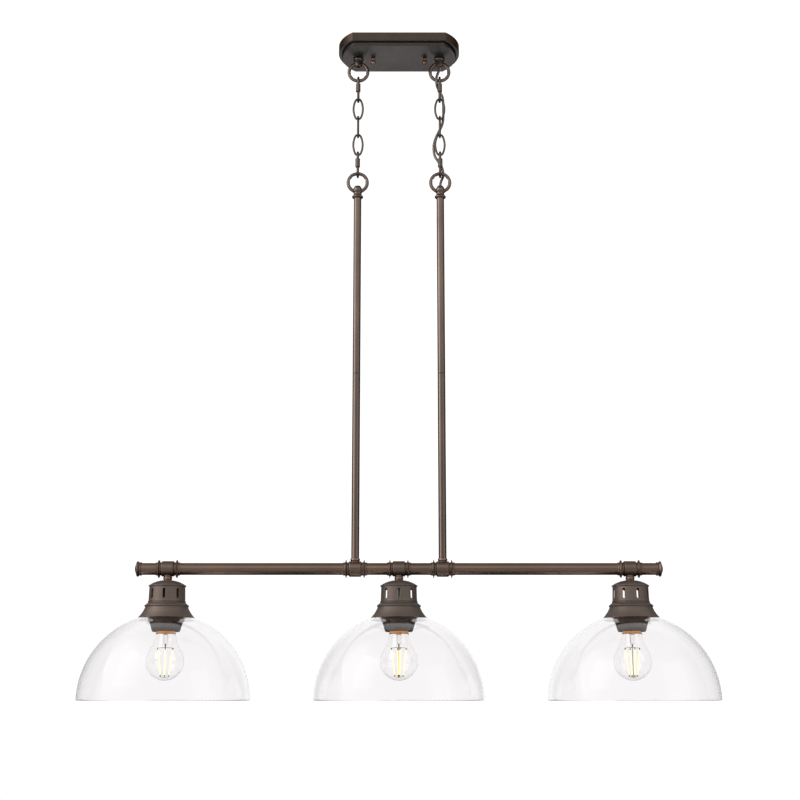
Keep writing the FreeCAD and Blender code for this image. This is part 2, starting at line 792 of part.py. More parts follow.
def shade_holder():
    """The spun holder: grooved top, bead, waist and flared rim on the glass."""
    top = cap_bottom
    wall = metal_wall
    groove = holder_groove_diameter / 2
    bead_edge = holder_bead_diameter / 2
    bead_z = top - holder_bead_drop
    waist = holder_waist_diameter / 2
    waist_z = top - holder_waist_drop
    rim = holder_rim_diameter / 2
    foot = holder_bottom
    hole = nipple_diameter / 2 + thread_gap
    collar = cap_bottom_diameter / 2
    flare_mid = (waist + (rim - waist) * 0.42, waist_z - (waist_z - foot) * 0.52)
    return turned(profile(
        (hole, top), (collar, top), (collar, top - 0.8), (groove, top - 1.2), (groove, top - 2.0),
        (collar, top - 2.4), (groove, top - 2.8), (groove, top - 3.8),
        (bead_edge - 0.7, bead_z + 1.0), ((bead_edge, bead_z), (bead_edge - 0.7, bead_z - 1.1)),
        (waist, waist_z), (flare_mid, (rim - 0.9, foot + wall)), (rim, foot + 0.5), (rim, foot),
        (rim - 1.6, foot), ((flare_mid[0] - 1.2, flare_mid[1] - 1.0), (waist - wall, waist_z - 0.4)),
        (bead_edge - 2.2, bead_z - 0.6), (bead_edge - 2.2, bead_z + 0.6),
        (groove - wall, top - 3.8 - wall / 2), (groove - wall, top - 2 * wall),
        (groove - wall, top - wall), (hole, top - wall), (hole, top)))


def nipple_nut():
    """The nut on the holder's web, seen through the cap's slots."""
    return hexagon_nut(nut_across_flats, nut_height, cap_bottom, nipple_diameter + 2 * thread_gap)


def lampholder():
    """The moulded lampholder body with its threaded outside and deep bore."""
    edge = lampholder_diameter / 2
    top = lampholder_top
    foot = lampholder_bottom
    neck = edge * 0.62
    bore = shell_outer_radius + thread_gap
    floor = top - lampholder_floor
    hole = nipple_diameter / 2
    return turned(profile(
        (hole, top - 5), (hole, top + lampholder_head), (neck, top + lampholder_head), (neck, top),
        (edge - lampholder_shoulder, top), ((edge - 1.2, top - 1.2), (edge, top - lampholder_shoulder)),
        (edge, foot + 0.6), (edge - 0.6, foot), (bore, foot), (bore, floor), (0, floor),
        (0, top - 5), (hole, top - 5)))


def lampholder_shell():
    """The brass screw shell and centre contact inside a lampholder."""
    outer = shell_outer_radius
    inner = outer - shell_wall
    floor = lampholder_top - lampholder_floor
    foot = lampholder_bottom
    head = floor - shell_head_gap
    shell = turned(profile((inner, foot - shell_lip), (outer + shell_lip, foot - shell_lip),
                           (outer + shell_lip, foot), (outer, foot), (outer, head), (inner, head),
                           (inner, foot - shell_lip)))
    edge = base_tip_diameter / 2
    contact_foot = floor - contact_height
    contact = turned(profile((0, floor), (0, contact_foot), (edge - 1, contact_foot),
                             (edge, floor), (0, floor)))
    return [shell, contact]


def retaining_ring():
    """The threaded ring that clamps the glass from below."""
    glass_under = glass_top - glass_thickness
    flange = ring_flange_diameter / 2
    waist = ring_waist_diameter / 2
    foot = ring_foot_diameter / 2
    bore = lampholder_diameter / 2 + thread_gap
    flange_foot = glass_under - ring_flange_height
    waist_z = glass_under - ring_waist_drop
    foot_z = glass_under - ring_height
    return turned(profile(
        (bore, glass_under), (flange, glass_under), (flange, flange_foot),
        ((waist + 1.6, flange_foot - 0.9), (waist, waist_z)), (foot, foot_z), (bore, foot_z),
        (bore, glass_under)))


def glass_shade():
    """The clear dome: a hemisphere with a flat, holed top."""
    outer = glass_radius
    inner = outer - glass_thickness
    flat_edge = glass_flat_diameter / 2
    hole = glass_hole_diameter / 2
    under = glass_top - glass_thickness
    top_angle = math.asin((glass_top - glass_rim) / outer)
    under_rise = under - glass_rim
    under_edge = math.sqrt(inner ** 2 - under_rise ** 2)
    under_angle = math.asin(under_rise / inner)

    def on_circle(radius, angle):
        return radius * math.cos(angle), glass_rim + radius * math.sin(angle)

    return turned(profile(
        (outer, glass_rim), (on_circle(outer, top_angle / 2), (flat_edge, glass_top)),
        (hole, glass_top), (hole, under), (under_edge, under),
        (on_circle(inner, under_angle / 2), (inner, glass_rim)),
        (((outer + inner) / 2, glass_rim - glass_thickness * 0.3), (outer, glass_rim))))


def leaving_arc(start, end, lean):
    """An arc between two profile points that leaves its start at an angle from upright."""
    across = end[0] - start[0]
    up = end[1] - start[1]
    half_turn = (math.atan2(-across, up) - math.radians(lean)) / 2
    rise = math.tan(half_turn) / 2
    return (start[0] + across / 2 + up * rise, start[1] + up / 2 - across * rise), end


def bulb_side(inset):
    """The envelope's points from the lowest up to the neck's shoulder, drawn inwards."""
    radius = bulb_diameter / 2 - inset
    centre = bulb_foot + bulb_diameter / 2
    leave = math.radians(bulb_side_angle)
    lowest = (0, centre - radius)
    belly = (radius, centre)
    side = (radius * math.cos(leave), centre + radius * math.sin(leave))
    shoulder = (bulb_neck_diameter / 2 - inset, bulb_foot + bulb_neck_rise)
    return lowest, belly, side, shoulder, centre


def bulb_glass():
    """The clear envelope, open inside its base, and the glass stem."""
    lowest, belly, side, shoulder, centre = bulb_side(0)
    lowest_in, belly_in, side_in, shoulder_in, centre = bulb_side(bulb_wall)
    seal = bulb_seal_diameter / 2
    bore = seal - bulb_wall
    shoulder_top = shell_foot - seat_gap
    bend = shoulder_top - (shoulder_top - shoulder[1]) * 0.3

    def on_globe(point, angle):
        radius = point[0]
        return radius * math.cos(math.radians(angle)), centre + radius * math.sin(math.radians(angle))

    envelope = turned(profile(
        lowest, (on_globe(belly, -45), belly), (on_globe(belly, bulb_side_angle / 2), side),
        leaving_arc(side, shoulder, bulb_side_angle), ((shoulder[0] - 0.7, bend), (seal, shoulder_top)),
        (seal, neck_top), (bore, neck_top), (bore, shoulder_top - bulb_wall),
        ((shoulder_in[0] - 0.7, bend - bulb_wall), shoulder_in),
        (leaving_arc(side_in, shoulder_in, bulb_side_angle)[0], side_in),
        (on_globe(belly_in, bulb_side_angle / 2), belly_in), (on_globe(belly_in, -45), lowest_in),
        lowest))
    flare = stem_flare_diameter / 2
    stem = stem_diameter / 2
    stem_solid = turned(profile(
        (0, stem_foot), (stem * 0.5, stem_foot), (stem * 0.8, stem_foot + 1.6),
        (stem, neck_top - 10), ((stem + 1.6, neck_top - 4), (flare, neck_top - 0.2)),
        (flare, neck_top), (0, neck_top), (0, stem_foot)))
    return [envelope, stem_solid]


def bulb_base():
    """The screw base: flared skirt, threaded shell, black cone and solder tip."""
    edge = base_diameter / 2
    root = edge - thread_depth
    skirt = base_skirt_diameter / 2
    skirt_top = shell_foot + base_skirt_height
    bore = bulb_seal_diameter / 2 + thread_gap
    thread_foot = skirt_top + 3
    turns = int((shell_top - thread_foot - 1) // thread_pitch)
    crests = [(root, thread_foot)]
    for number in range(turns):
        low = thread_foot + number * thread_pitch
        crests.append(((edge, low + thread_pitch / 2), (root, low + thread_pitch)))
    tip = base_tip_diameter / 2
    return turned(profile(
        (bore, shell_foot), (skirt - 0.4, shell_foot), (skirt, shell_foot + 0.4),
        (skirt - 0.3, skirt_top - 0.3), (edge, skirt_top), (edge, thread_foot - 1), *crests,
        (root, shell_top), (tip + 1.5, bulb_top - 1.2), (tip, bulb_top - 1.0),
        ((tip * 0.6, bulb_top - 0.3), (tip_flat, bulb_top)), (0, bulb_top), (0, neck_top),
        (bore, neck_top),
        (bore, shell_foot)))


def filaments():
    """Slanted filaments on a centre wire, each held by a support wire at both ends."""
    low = bulb_foot + filament_rise
    high = low + filament_length
    whole = rod(support_wire * 1.6, low - support_slope - 0.3, stem_foot - seat_gap)

    def wire_between(start, end, diameter):
        return Part.makeCylinder(diameter / 2, (end - start).Length, start, end - start)

    for number in range(filament_count):
        angle = math.radians(45 + number * 360 / filament_count)
        outward = V(math.cos(angle), math.sin(angle), 0)
        foot = outward * (filament_circle_foot / 2) + V(0, 0, low)
        head = outward * (filament_circle_top / 2) + V(0, 0, high)
        whole = whole.fuse(wire_between(foot, head, filament_diameter))
        whole = whole.fuse(wire_between(foot, V(0, 0, low - support_slope), support_wire))
        whole = whole.fuse(wire_between(head, V(0, 0, high + support_slope), support_wire))
    return whole


# The cord's route through the right chain, from the canopy loop's mouth to the rod loop's.
# X counts from the chain's centre line and Z from the ceiling.
cord_points = [
    (0.0, 0.0, -32.0), (0.0, 0.0, -40.5), (-2.7, -2.8, -49.0), (-5.5, -5.9, -57.5),
    (-6.0, -5.7, -66.5), (-4.0, -1.3, -75.0), (1.0, 1.9, -82.5), (5.6, 4.0, -91.0),
    (6.2, 5.2, -101.5), (6.3, 5.2, -113.0), (6.2, 5.2, -124.0), (5.8, 5.0, -134.5),
    (3.2, 2.6, -145.0), (-1.6, 1.7, -154.0), (-6.6, 5.2, -163.5), (-10.4, 5.6, -175.0),
    (-10.8, 5.4, -187.0), (-9.2, 4.6, -198.5), (-4.0, 1.8, -207.5), (2.0, 2.6, -216.0),
    (5.4, 6.2, -225.0), (5.5, 6.2, -234.8), (2.1, 2.4, -243.0), (0.0, 0.0, -250.8),
    (0.0, 0.0, -258.0)]


def cord():
    """The flexible cord, woven through the right chain."""
    points = [V(loop_x + x, y, z) for x, y, z in cord_points]
    tube, length, radius = tube_through(points, cord_diameter)
    section = math.pi * cord_diameter ** 2 / 4
    print(f"cord length {length:.1f}, least radius {radius:.1f}, "
          f"volume against section times length {tube.Volume / (section * length):.4f}")
    return tube


def canopy_leads():
    """Two leads from the cord to the wire connectors, and the ground lead to its screw."""
    cord_end = cord_points[0][2]
    nipple_top = canopy_face + nipple_above_canopy
    level = nipple_top + lead_height
    ground_y = -(stud_nut_across_flats / 2 + 2 * lead_diameter)
    screw_x = ground_screw_x + ground_screw_head / 2 + lead_diameter / 2 + seat_gap
    screw_z = -strap_thickness - seat_gap - lead_diameter / 2
    runs = {180: [V(loop_x - ground_lead_bend, ground_y * 0.6, level - 1),
                  V(stud_spacing / 2, ground_y, level - 1),
                  V(screw_x + 9, ground_y * 0.6, level), V(screw_x, 0, screw_z)]}
    for side in (-1, 1):
        end_y = side * connector_y
        runs[60 * side] = [V(loop_x - lead_first_bend, end_y * 0.35, level + 0.3),
                           V(loop_x - lead_second_bend, end_y * 0.85, level - 2),
                           V(connector_mouth_x + 14, end_y, connector_z),
                           V(connector_mouth_x, end_y, connector_z)]
    leads = []
    for angle, run in runs.items():
        place = math.radians(angle)
        x = loop_x + lead_circle / 2 * math.cos(place)
        y = lead_circle / 2 * math.sin(place)
        points = [V(x, y, cord_end), V(x, y, level)] + run
        leads.append(tube_through(points, lead_diameter)[0])
    return leads


def wire_connectors():
    """Two twist-on connectors at the leads' ends."""
    edge = connector_cap_diameter / 2
    length = connector_cap_length
    cap = turned(profile((0, 0), (edge * 0.55, 0), (edge * 0.8, length * 0.25),
                         (edge, length * 0.8), (edge, length), (0, length), (0, 0)))
    return [along_x(cap).translated(V(connector_mouth_x - length, y, connector_z))
            for y in (-connector_y, connector_y)]


def lamp_leads():
    """The wires inside the right rod and the bar, down to each lampholder."""
    wire = lamp_lead_diameter
    cord_end = cord_points[-1][2]
    run = along_x(rod(wire, -lamp_spacing, lamp_spacing)).translated(V(0, 0, bar_z))
    whole = rod(wire, bar_z, cord_end, loop_x).fuse(run)
    for x in lamp_places.values():
        whole = whole.fuse(rod(wire, lampholder_top - 4.5, bar_z, x))
    return whole.removeSplitter()


def at(shape, x, level=0.0):
    """A copy of a piece moved along X and Z."""
    return shape.translated(V(x, 0, level))


def pair(shape):
    """Copies of a piece at the left and right rod."""
    return [at(shape, -loop_x), at(shape, loop_x)]


def build_nodes():
    """Every node's solids by the node's name."""
    nodes = {
        "canopy_pan": [canopy_pan()],
        "mounting_strap": [mounting_strap()],
        "ground_screw": [ground_screw()],
        "canopy_studs": [at(piece, s * stud_spacing / 2) for s in (-1, 1)
                         for piece in (canopy_stud(), stud_nut())],
        "loop_nuts": [at(piece, s * loop_x) for s in (-1, 1) for piece in loop_fastening()],
        "canopy_leads": canopy_leads(),
        "wire_connectors": wire_connectors(),
        "cord": [cord()],
        "lamp_leads": [lamp_leads()],
        "rod_joiners": pair(rod_joiner()),
        "rod_collars": pair(rod_collar()),
        "rod_feet": pair(rod_foot()),
        "bar_tubes": bar_tubes(),
        "end_caps": end_caps(),
    }
    collar_foot = canopy_face - loop_flange_height - loop_collar_length
    boss_top = rod_ring_foot + boss_height
    upturned = cord_bushing().rotated(ORIGIN, X_AXIS, 180)
    nodes["canopy_cord_bushing"] = [at(upturned, loop_x, collar_foot)]
    nodes["rod_cord_bushing"] = [at(cord_bushing(), loop_x, boss_top)]
    for side, sign in (("left", -1), ("right", 1)):
        nodes[f"knob_{side}"] = [at(ball_knob(), sign * stud_spacing / 2)]
        nodes[f"canopy_loop_{side}"] = [at(canopy_loop(), sign * loop_x)]
        nodes[f"rod_loop_{side}"] = [at(rod_loop(), sign * loop_x)]
        nodes[f"rod_{side}"] = rod_pair(sign * loop_x)
        nodes[f"rod_tee_{side}"] = [at(tee(), sign * loop_x, bar_z)]
        for number, centre in enumerate(link_centres, 1):
            pieces = connector_link() if number in (1, 5) else [oval_link(number != 3)]
            nodes[f"{side}_link_{number}"] = [at(piece, sign * loop_x, centre) for piece in pieces]
    places = lamp_places.values()
    nodes["lamp_tees"] = [at(tee().rotated(ORIGIN, X_AXIS, 180), x, bar_z) for x in places]
    nodes["lamp_couplings"] = [at(coupling(), x) for x in places]
    nodes["lamp_nipples"] = [at(piece, x) for x in places for piece in (lamp_nipple(), nipple_nut())]
    nodes["lampholders"] = [at(lampholder(), x) for x in places]
    nodes["lampholder_shells"] = [at(piece, x) for x in places for piece in lampholder_shell()]
    nodes["retaining_rings"] = [at(retaining_ring(), x) for x in places]
    for place, x in lamp_places.items():
        nodes[f"vented_cap_{place}"] = [at(vented_cap(slot_turn[place]), x)]
        nodes[f"shade_holder_{place}"] = [at(shade_holder(), x)]
        nodes[f"glass_shade_{place}"] = [at(glass_shade(), x)]
        nodes[f"bulb_glass_{place}"] = [at(piece, x) for piece in bulb_glass()]
        nodes[f"bulb_base_{place}"] = [at(bulb_base(), x)]
        nodes[f"bulb_filaments_{place}"] = [at(filaments(), x)]
    return nodes


def main():
    os.makedirs("parts", exist_ok=True)
    nodes = build_nodes()
    for name, solids in nodes.items():
        shape = solids[0] if len(solids) == 1 else Part.makeCompound(solids)
        if not shape.isValid() or any(len(s.Solids) != 1 for s in solids):
            print("check", name, shape.isValid(), [len(s.Solids) for s in solids])
        shape.exportStep(f"parts/{name}.step")
    print(f"{len(nodes)} nodes, bar axis {bar_z:.1f}, shade rim {glass_rim:.1f}")


main()
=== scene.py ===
"""Dresses a linear island pendant: bronze finishes, clear glass, woven cord, lit bulbs and studio."""

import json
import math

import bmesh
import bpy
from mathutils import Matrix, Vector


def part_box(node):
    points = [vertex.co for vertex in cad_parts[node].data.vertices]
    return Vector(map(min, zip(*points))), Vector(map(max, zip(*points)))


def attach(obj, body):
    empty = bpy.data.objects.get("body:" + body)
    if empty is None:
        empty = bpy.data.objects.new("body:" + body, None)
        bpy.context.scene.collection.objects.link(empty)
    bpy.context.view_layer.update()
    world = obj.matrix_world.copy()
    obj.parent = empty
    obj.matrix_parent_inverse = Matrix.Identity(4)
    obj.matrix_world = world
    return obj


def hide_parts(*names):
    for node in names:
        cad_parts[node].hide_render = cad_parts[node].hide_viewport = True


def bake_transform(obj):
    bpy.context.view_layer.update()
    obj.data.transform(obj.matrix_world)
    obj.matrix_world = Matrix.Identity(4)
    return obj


bl_info = {
    "name": "Linear Island Pendant",
    "version": (1, 0, 0),
    "blender": (4, 5, 0),
    "location": "3D View > Sidebar > Pendant",
    "description": "Finishes, cord, bulbs and studio for a three-light linear island pendant",
    "category": "Add Mesh",
}

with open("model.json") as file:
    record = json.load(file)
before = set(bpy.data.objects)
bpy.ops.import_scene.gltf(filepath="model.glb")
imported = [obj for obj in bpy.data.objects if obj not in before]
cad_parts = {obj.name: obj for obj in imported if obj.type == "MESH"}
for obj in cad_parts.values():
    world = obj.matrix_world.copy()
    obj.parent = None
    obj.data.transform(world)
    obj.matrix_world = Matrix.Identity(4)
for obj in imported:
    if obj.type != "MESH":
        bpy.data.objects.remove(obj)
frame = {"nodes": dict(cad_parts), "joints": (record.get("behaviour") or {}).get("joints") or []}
bpy.ops.object.select_all(action="DESELECT")

MM = 0.001
LAMPS = ("left", "centre", "right")
WHITE = (1.0, 1.0, 1.0)


def middle_x(name):
    """X of the middle of a frame node's box."""
    low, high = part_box(name)
    return (low.x + high.x) / 2


# Settings

class PENDANT_PG_finish(bpy.types.PropertyGroup):
    """Colours and wear of the metal and glass."""

    bronze_dark: bpy.props.FloatVectorProperty(
        name="Dark bronze", description="Patina where the finish lies thickest",
        subtype="COLOR", size=3, min=0, max=1, default=(0.092, 0.077, 0.069))
    bronze_brown: bpy.props.FloatVectorProperty(
        name="Brown bronze", description="Patina where the finish is rubbed thinner",
        subtype="COLOR", size=3, min=0, max=1, default=(0.134, 0.104, 0.088))
    copper: bpy.props.FloatVectorProperty(
        name="Copper", description="Bare metal that shows at worn edges and on the turned balls",
        subtype="COLOR", size=3, min=0, max=1, default=(0.38, 0.215, 0.150))
    edge_tint: bpy.props.FloatVectorProperty(
        name="Edge tint", description="Share of light that the lacquer sends back at a grazing angle",
        subtype="COLOR", size=3, min=0, max=1, default=(0.34, 0.31, 0.29))
    edge_width: bpy.props.FloatProperty(
        name="Edge wear width", description="How far the wear reaches from an edge",
        unit="LENGTH", default=0.0007, min=0.0001, max=0.005)
    glass_tint: bpy.props.FloatVectorProperty(
        name="Glass tint", description="Share of light that each wall of the shade lets through",
        subtype="COLOR", size=3, min=0, max=1, default=(0.938, 0.929, 0.933))
    glass_shine: bpy.props.FloatProperty(
        name="Glass shine", description="How strongly the glass reflects where it is seen face on",
        subtype="FACTOR", default=0.3, min=0, max=1)
    glass_absorption: bpy.props.FloatProperty(
        name="Glass absorption", description="How quickly thick shade glass turns grey",
        default=9.0, min=0, max=100)
    bulb_absorption: bpy.props.FloatProperty(
        name="Bulb absorption", description="How quickly thick bulb glass turns grey",
        default=8.0, min=0, max=200)


class PENDANT_PG_cord(bpy.types.PropertyGroup):
    """Sizes of the woven electric cord."""

    diameter: bpy.props.FloatProperty(
        name="Diameter", description="Outside diameter over the clear jacket",
        unit="LENGTH", default=0.0048, min=0.002, max=0.012)
    twist_pitch: bpy.props.FloatProperty(
        name="Twist pitch", description="Length in which the conductors turn once round each other",
        unit="LENGTH", default=0.024, min=0.005, max=0.1)
    lobe_depth: bpy.props.FloatProperty(
        name="Lobe depth", description="Share of the radius by which the jacket dips between conductors",
        subtype="FACTOR", default=0.075, min=0, max=0.3)
    ring_step: bpy.props.FloatProperty(
        name="Ring step", description="Distance between the mesh rings along the cord",
        unit="LENGTH", default=0.0006, min=0.0002, max=0.01)
    ring_sides: bpy.props.IntProperty(
        name="Ring sides", description="Points round each mesh ring", default=24, min=8, max=64)


class PENDANT_PG_bulb(bpy.types.PropertyGroup):
    """Sizes and light of the filaments."""

    count: bpy.props.IntProperty(
        name="Filaments", description="Filaments in each bulb", default=4, min=1, max=12)
    strip_diameter: bpy.props.FloatProperty(
        name="Strip diameter", description="Diameter of one coated filament",
        unit="LENGTH", default=0.0018, min=0.0005, max=0.004)
    turn: bpy.props.FloatProperty(
        name="Turn", description="How far the first filament stands round from the pendant's length",
        subtype="ANGLE", default=math.radians(9), min=0, max=1.6)
    strip_height: bpy.props.FloatProperty(
        name="Strip height", description="Height from a filament's foot to its head",
        unit="LENGTH", default=0.044, min=0.01, max=0.08)
    top_circle: bpy.props.FloatProperty(
        name="Top circle", description="Diameter of the circle on which the filament heads stand",
        unit="LENGTH", default=0.024, min=0.005, max=0.04)
    foot_circle: bpy.props.FloatProperty(
        name="Foot circle", description="Diameter of the circle on which the filament feet stand",
        unit="LENGTH", default=0.013, min=0.002, max=0.04)
    crimp_length: bpy.props.FloatProperty(
        name="Crimp length", description="Length of the metal clip at each filament end",
        unit="LENGTH", default=0.0026, min=0.0005, max=0.01)
    wire_diameter: bpy.props.FloatProperty(
        name="Wire diameter", description="Diameter of the support wires",
        unit="LENGTH", default=0.0007, min=0.0002, max=0.003)
    glow: bpy.props.FloatVectorProperty(
        name="Glow colour", description="Colour of the lit filaments",
        subtype="COLOR", size=3, min=0, max=1, default=(1.0, 0.78, 0.4))
    glow_strength: bpy.props.FloatProperty(
        name="Glow strength", description="Brightness of the lit filaments",
        default=1.6, min=0, max=100)


class PENDANT_PG_studio(bpy.types.PropertyGroup):
    """Camera, floor and lights."""

    lens: bpy.props.FloatProperty(
        name="Lens", description="Focal length on a 36 mm wide sensor",
        unit="CAMERA", default=62.8, min=10, max=300)
    distance: bpy.props.FloatProperty(
        name="Distance", description="From the camera to the pendant's middle plane",
        unit="LENGTH", default=2.238, min=0.5, max=10)
    aside: bpy.props.FloatProperty(
        name="Aside", description="How far right of the pendant's centre the camera stands",
        unit="LENGTH", default=0.00176, min=-1, max=1)
    eye_height: bpy.props.FloatProperty(
        name="Eye height", description="Height of the camera, with the ceiling at zero",
        unit="LENGTH", default=-1.106, min=-3, max=1)
    pitch: bpy.props.FloatProperty(
        name="Pitch", description="How far the camera tilts up from level",
        subtype="ANGLE", default=math.radians(12.13), min=-1.5, max=1.5)
    floor_height: bpy.props.FloatProperty(
        name="Floor height", description="Height of the floor, with the ceiling at zero",
        unit="LENGTH", default=-2.6, min=-4, max=-1.2)
    card_height: bpy.props.FloatProperty(
        name="Card height", description="Height of the dark card that shades the metal's undersides",
        unit="LENGTH", default=-1.46, min=-4, max=-1.2)
    surroundings: bpy.props.FloatProperty(
        name="Surroundings", description="Brightness of the white studio all round",
        default=1.1, min=0, max=10)


# Materials

# Spans of a noise's values that are stretched to a whole range. A narrow one makes a harder pattern.
HARD_SPAN = (0.36, 0.64)
SOFT_SPAN = (0.34, 0.66)
WEAR_AND_GLINT_SPAN = (0.34, 0.62)
STAIN_SPAN = (0.35, 0.68)
FULL_SPAN = (0.3, 0.7)
# Openness at which the wear of an edge begins, and at which it is full.
EDGE_SPAN = (0.9, 0.58)


class Surface:
    """A node material under construction, with its Principled shader at hand."""

    def __init__(self, name):
        self.material = bpy.data.materials.new(name)
        self.material.use_nodes = True
        tree = self.material.node_tree
        self.nodes = tree.nodes
        self.links = tree.links
        self.shader = self.nodes["Principled BSDF"]
        self.output = self.nodes["Material Output"]

    def add(self, kind, **values):
        """A new node. Values set its sockets by name, with underscores for spaces, or its settings."""
        node = self.nodes.new(kind)
        for name, value in values.items():
            socket = node.inputs.get(name.replace("_", " ").capitalize())
            if socket is None:
                setattr(node, name, value)
            else:
                socket.default_value = value
        return node

    def set(self, **values):
        """Sets the Principled shader's own sockets."""
        for name, value in values.items():
            socket = name.replace("_", " ").title().replace("Ior", "IOR")
            self.shader.inputs[socket].default_value = value

    def join(self, source, target):
        """Links an output socket to an input socket."""
        self.links.new(source, target)

    def parts(self, vector):
        """The X, Y and Z sockets of a vector."""
        node = self.add("ShaderNodeSeparateXYZ")
        self.join(vector, node.inputs["Vector"])
        return node.outputs

    def coordinates(self, scale):
        """Object coordinates stretched by a scale on each axis."""
        place = self.add("ShaderNodeTexCoord")
        stretch = self.add("ShaderNodeMapping", scale=scale)
        self.join(place.outputs["Object"], stretch.inputs["Vector"])
        return stretch.outputs["Vector"]

    def noise(self, scale, detail=3.0, stretch=(1, 1, 1)):
        """Noise of so many features a metre, as a value from about 0.3 to 0.7."""
        cloud = self.add("ShaderNodeTexNoise", scale=scale, detail=detail, roughness=0.55)
        self.join(self.coordinates(stretch), cloud.inputs["Vector"])
        return cloud.outputs["Fac"]

    def between(self, value, low, high, to_low=0.0, to_high=1.0):
        """A value's range mapped to another range, clamped."""
        span = self.add("ShaderNodeMapRange")
        span.inputs["From Min"].default_value = low
        span.inputs["From Max"].default_value = high
        span.inputs["To Min"].default_value = to_low
        span.inputs["To Max"].default_value = to_high
        self.join(value, span.inputs["Value"])
        return span.outputs["Result"]

    def calculate(self, operation, *values):
        """A Math node on one or two values, each a socket or a number."""
        node = self.add("ShaderNodeMath", operation=operation)
        for socket, value in zip(node.inputs, values):
            if isinstance(value, (int, float)):
                socket.default_value = value
            else:
                self.join(value, socket)
        return node.outputs["Value"]

    def mix(self, share, first, second):
        """A colour mix. Colours are sockets or RGB triples."""
        node = self.add("ShaderNodeMix", data_type="RGBA")
        self.join(share, node.inputs["Factor"])
        # Inputs 6 and 7 and output 2 are the node's colours. Its others are for numbers and vectors.
        for socket, value in ((node.inputs[6], first), (node.inputs[7], second)):
            if isinstance(value, bpy.types.NodeSocket):
                self.join(value, socket)
            else:
                socket.default_value = (*value, 1.0)
        return node.outputs[2]

    def closeness(self, width, inside):
        """Near 1 within a width of an outside edge, or of a hollow if inside is False. 0 far off."""
        near = self.add("ShaderNodeAmbientOcclusion", samples=8, inside=inside, only_local=True,
                        distance=width)
        return self.between(near.outputs["AO"], *EDGE_SPAN)

    def bump(self, height, distance, strength=1.0):
        """Relief from a value, so many metres deep."""
        relief = self.add("ShaderNodeBump", strength=strength, distance=distance)
        self.join(height, relief.inputs["Height"])
        self.join(relief.outputs["Normal"], self.shader.inputs["Normal"])

    def colour(self, socket):
        """Drives the base colour."""
        self.join(socket, self.shader.inputs["Base Color"])

    def roughness(self, socket):
        """Drives the roughness."""
        self.join(socket, self.shader.inputs["Roughness"])


def dress(material, names):
    """Gives a material to the frame's nodes whose names start as listed."""
    for name, node in frame["nodes"].items():
        if name.startswith(names):
            node.data.materials.clear()
            node.data.materials.append(material)


# Features a metre in the bronze's clouds, flecks, rubbed places, and edge copper that is partly a
# painted highlight.
CLOUD_SCALE = 11
FLECK_SCALE = 700
RUB_SCALE = 60
WEAR_AND_GLINT_SCALE = 160
# Each pattern's part in the patina's change from dark to brown.
CLOUD_PART = 0.55
STREAK_PART = 0.25
FLECK_PART = 0.2
# How far a warmth of 1 changes red, green and blue.
WARM_SHIFT = (0.16, -0.02, -0.14)
# Tone of the painted shade and dirt in hollows and corners, and the most of it that shows.
SHADE_AND_GRIME_TONE = 0.4
SHADE_AND_GRIME_SHARE = 0.6
# Least share of its full amount that the copper of rubbed places, and the edge copper with its painted
# highlight, shows anywhere.
RUB_LEAST = 0.75
WEAR_AND_GLINT_LEAST = 0.35
# What dark patina and brown patina add to the roughness, and what edge copper takes from it.
DARK_ROUGH = 0.05
BROWN_ROUGH = -0.04
WORN_ROUGH = 0.1
# Z of the normal at which the painted reflection colour of faces that look down begins, and fills a face
# that looks down.
PAINTED_UNDERSIDE_SPAN = (-0.7, -0.95)
# Tones of the clouds in the painted colour of faces that look down.
PAINTED_UNDERSIDE_DARK = 0.88
PAINTED_UNDERSIDE_LIGHT = 1.12


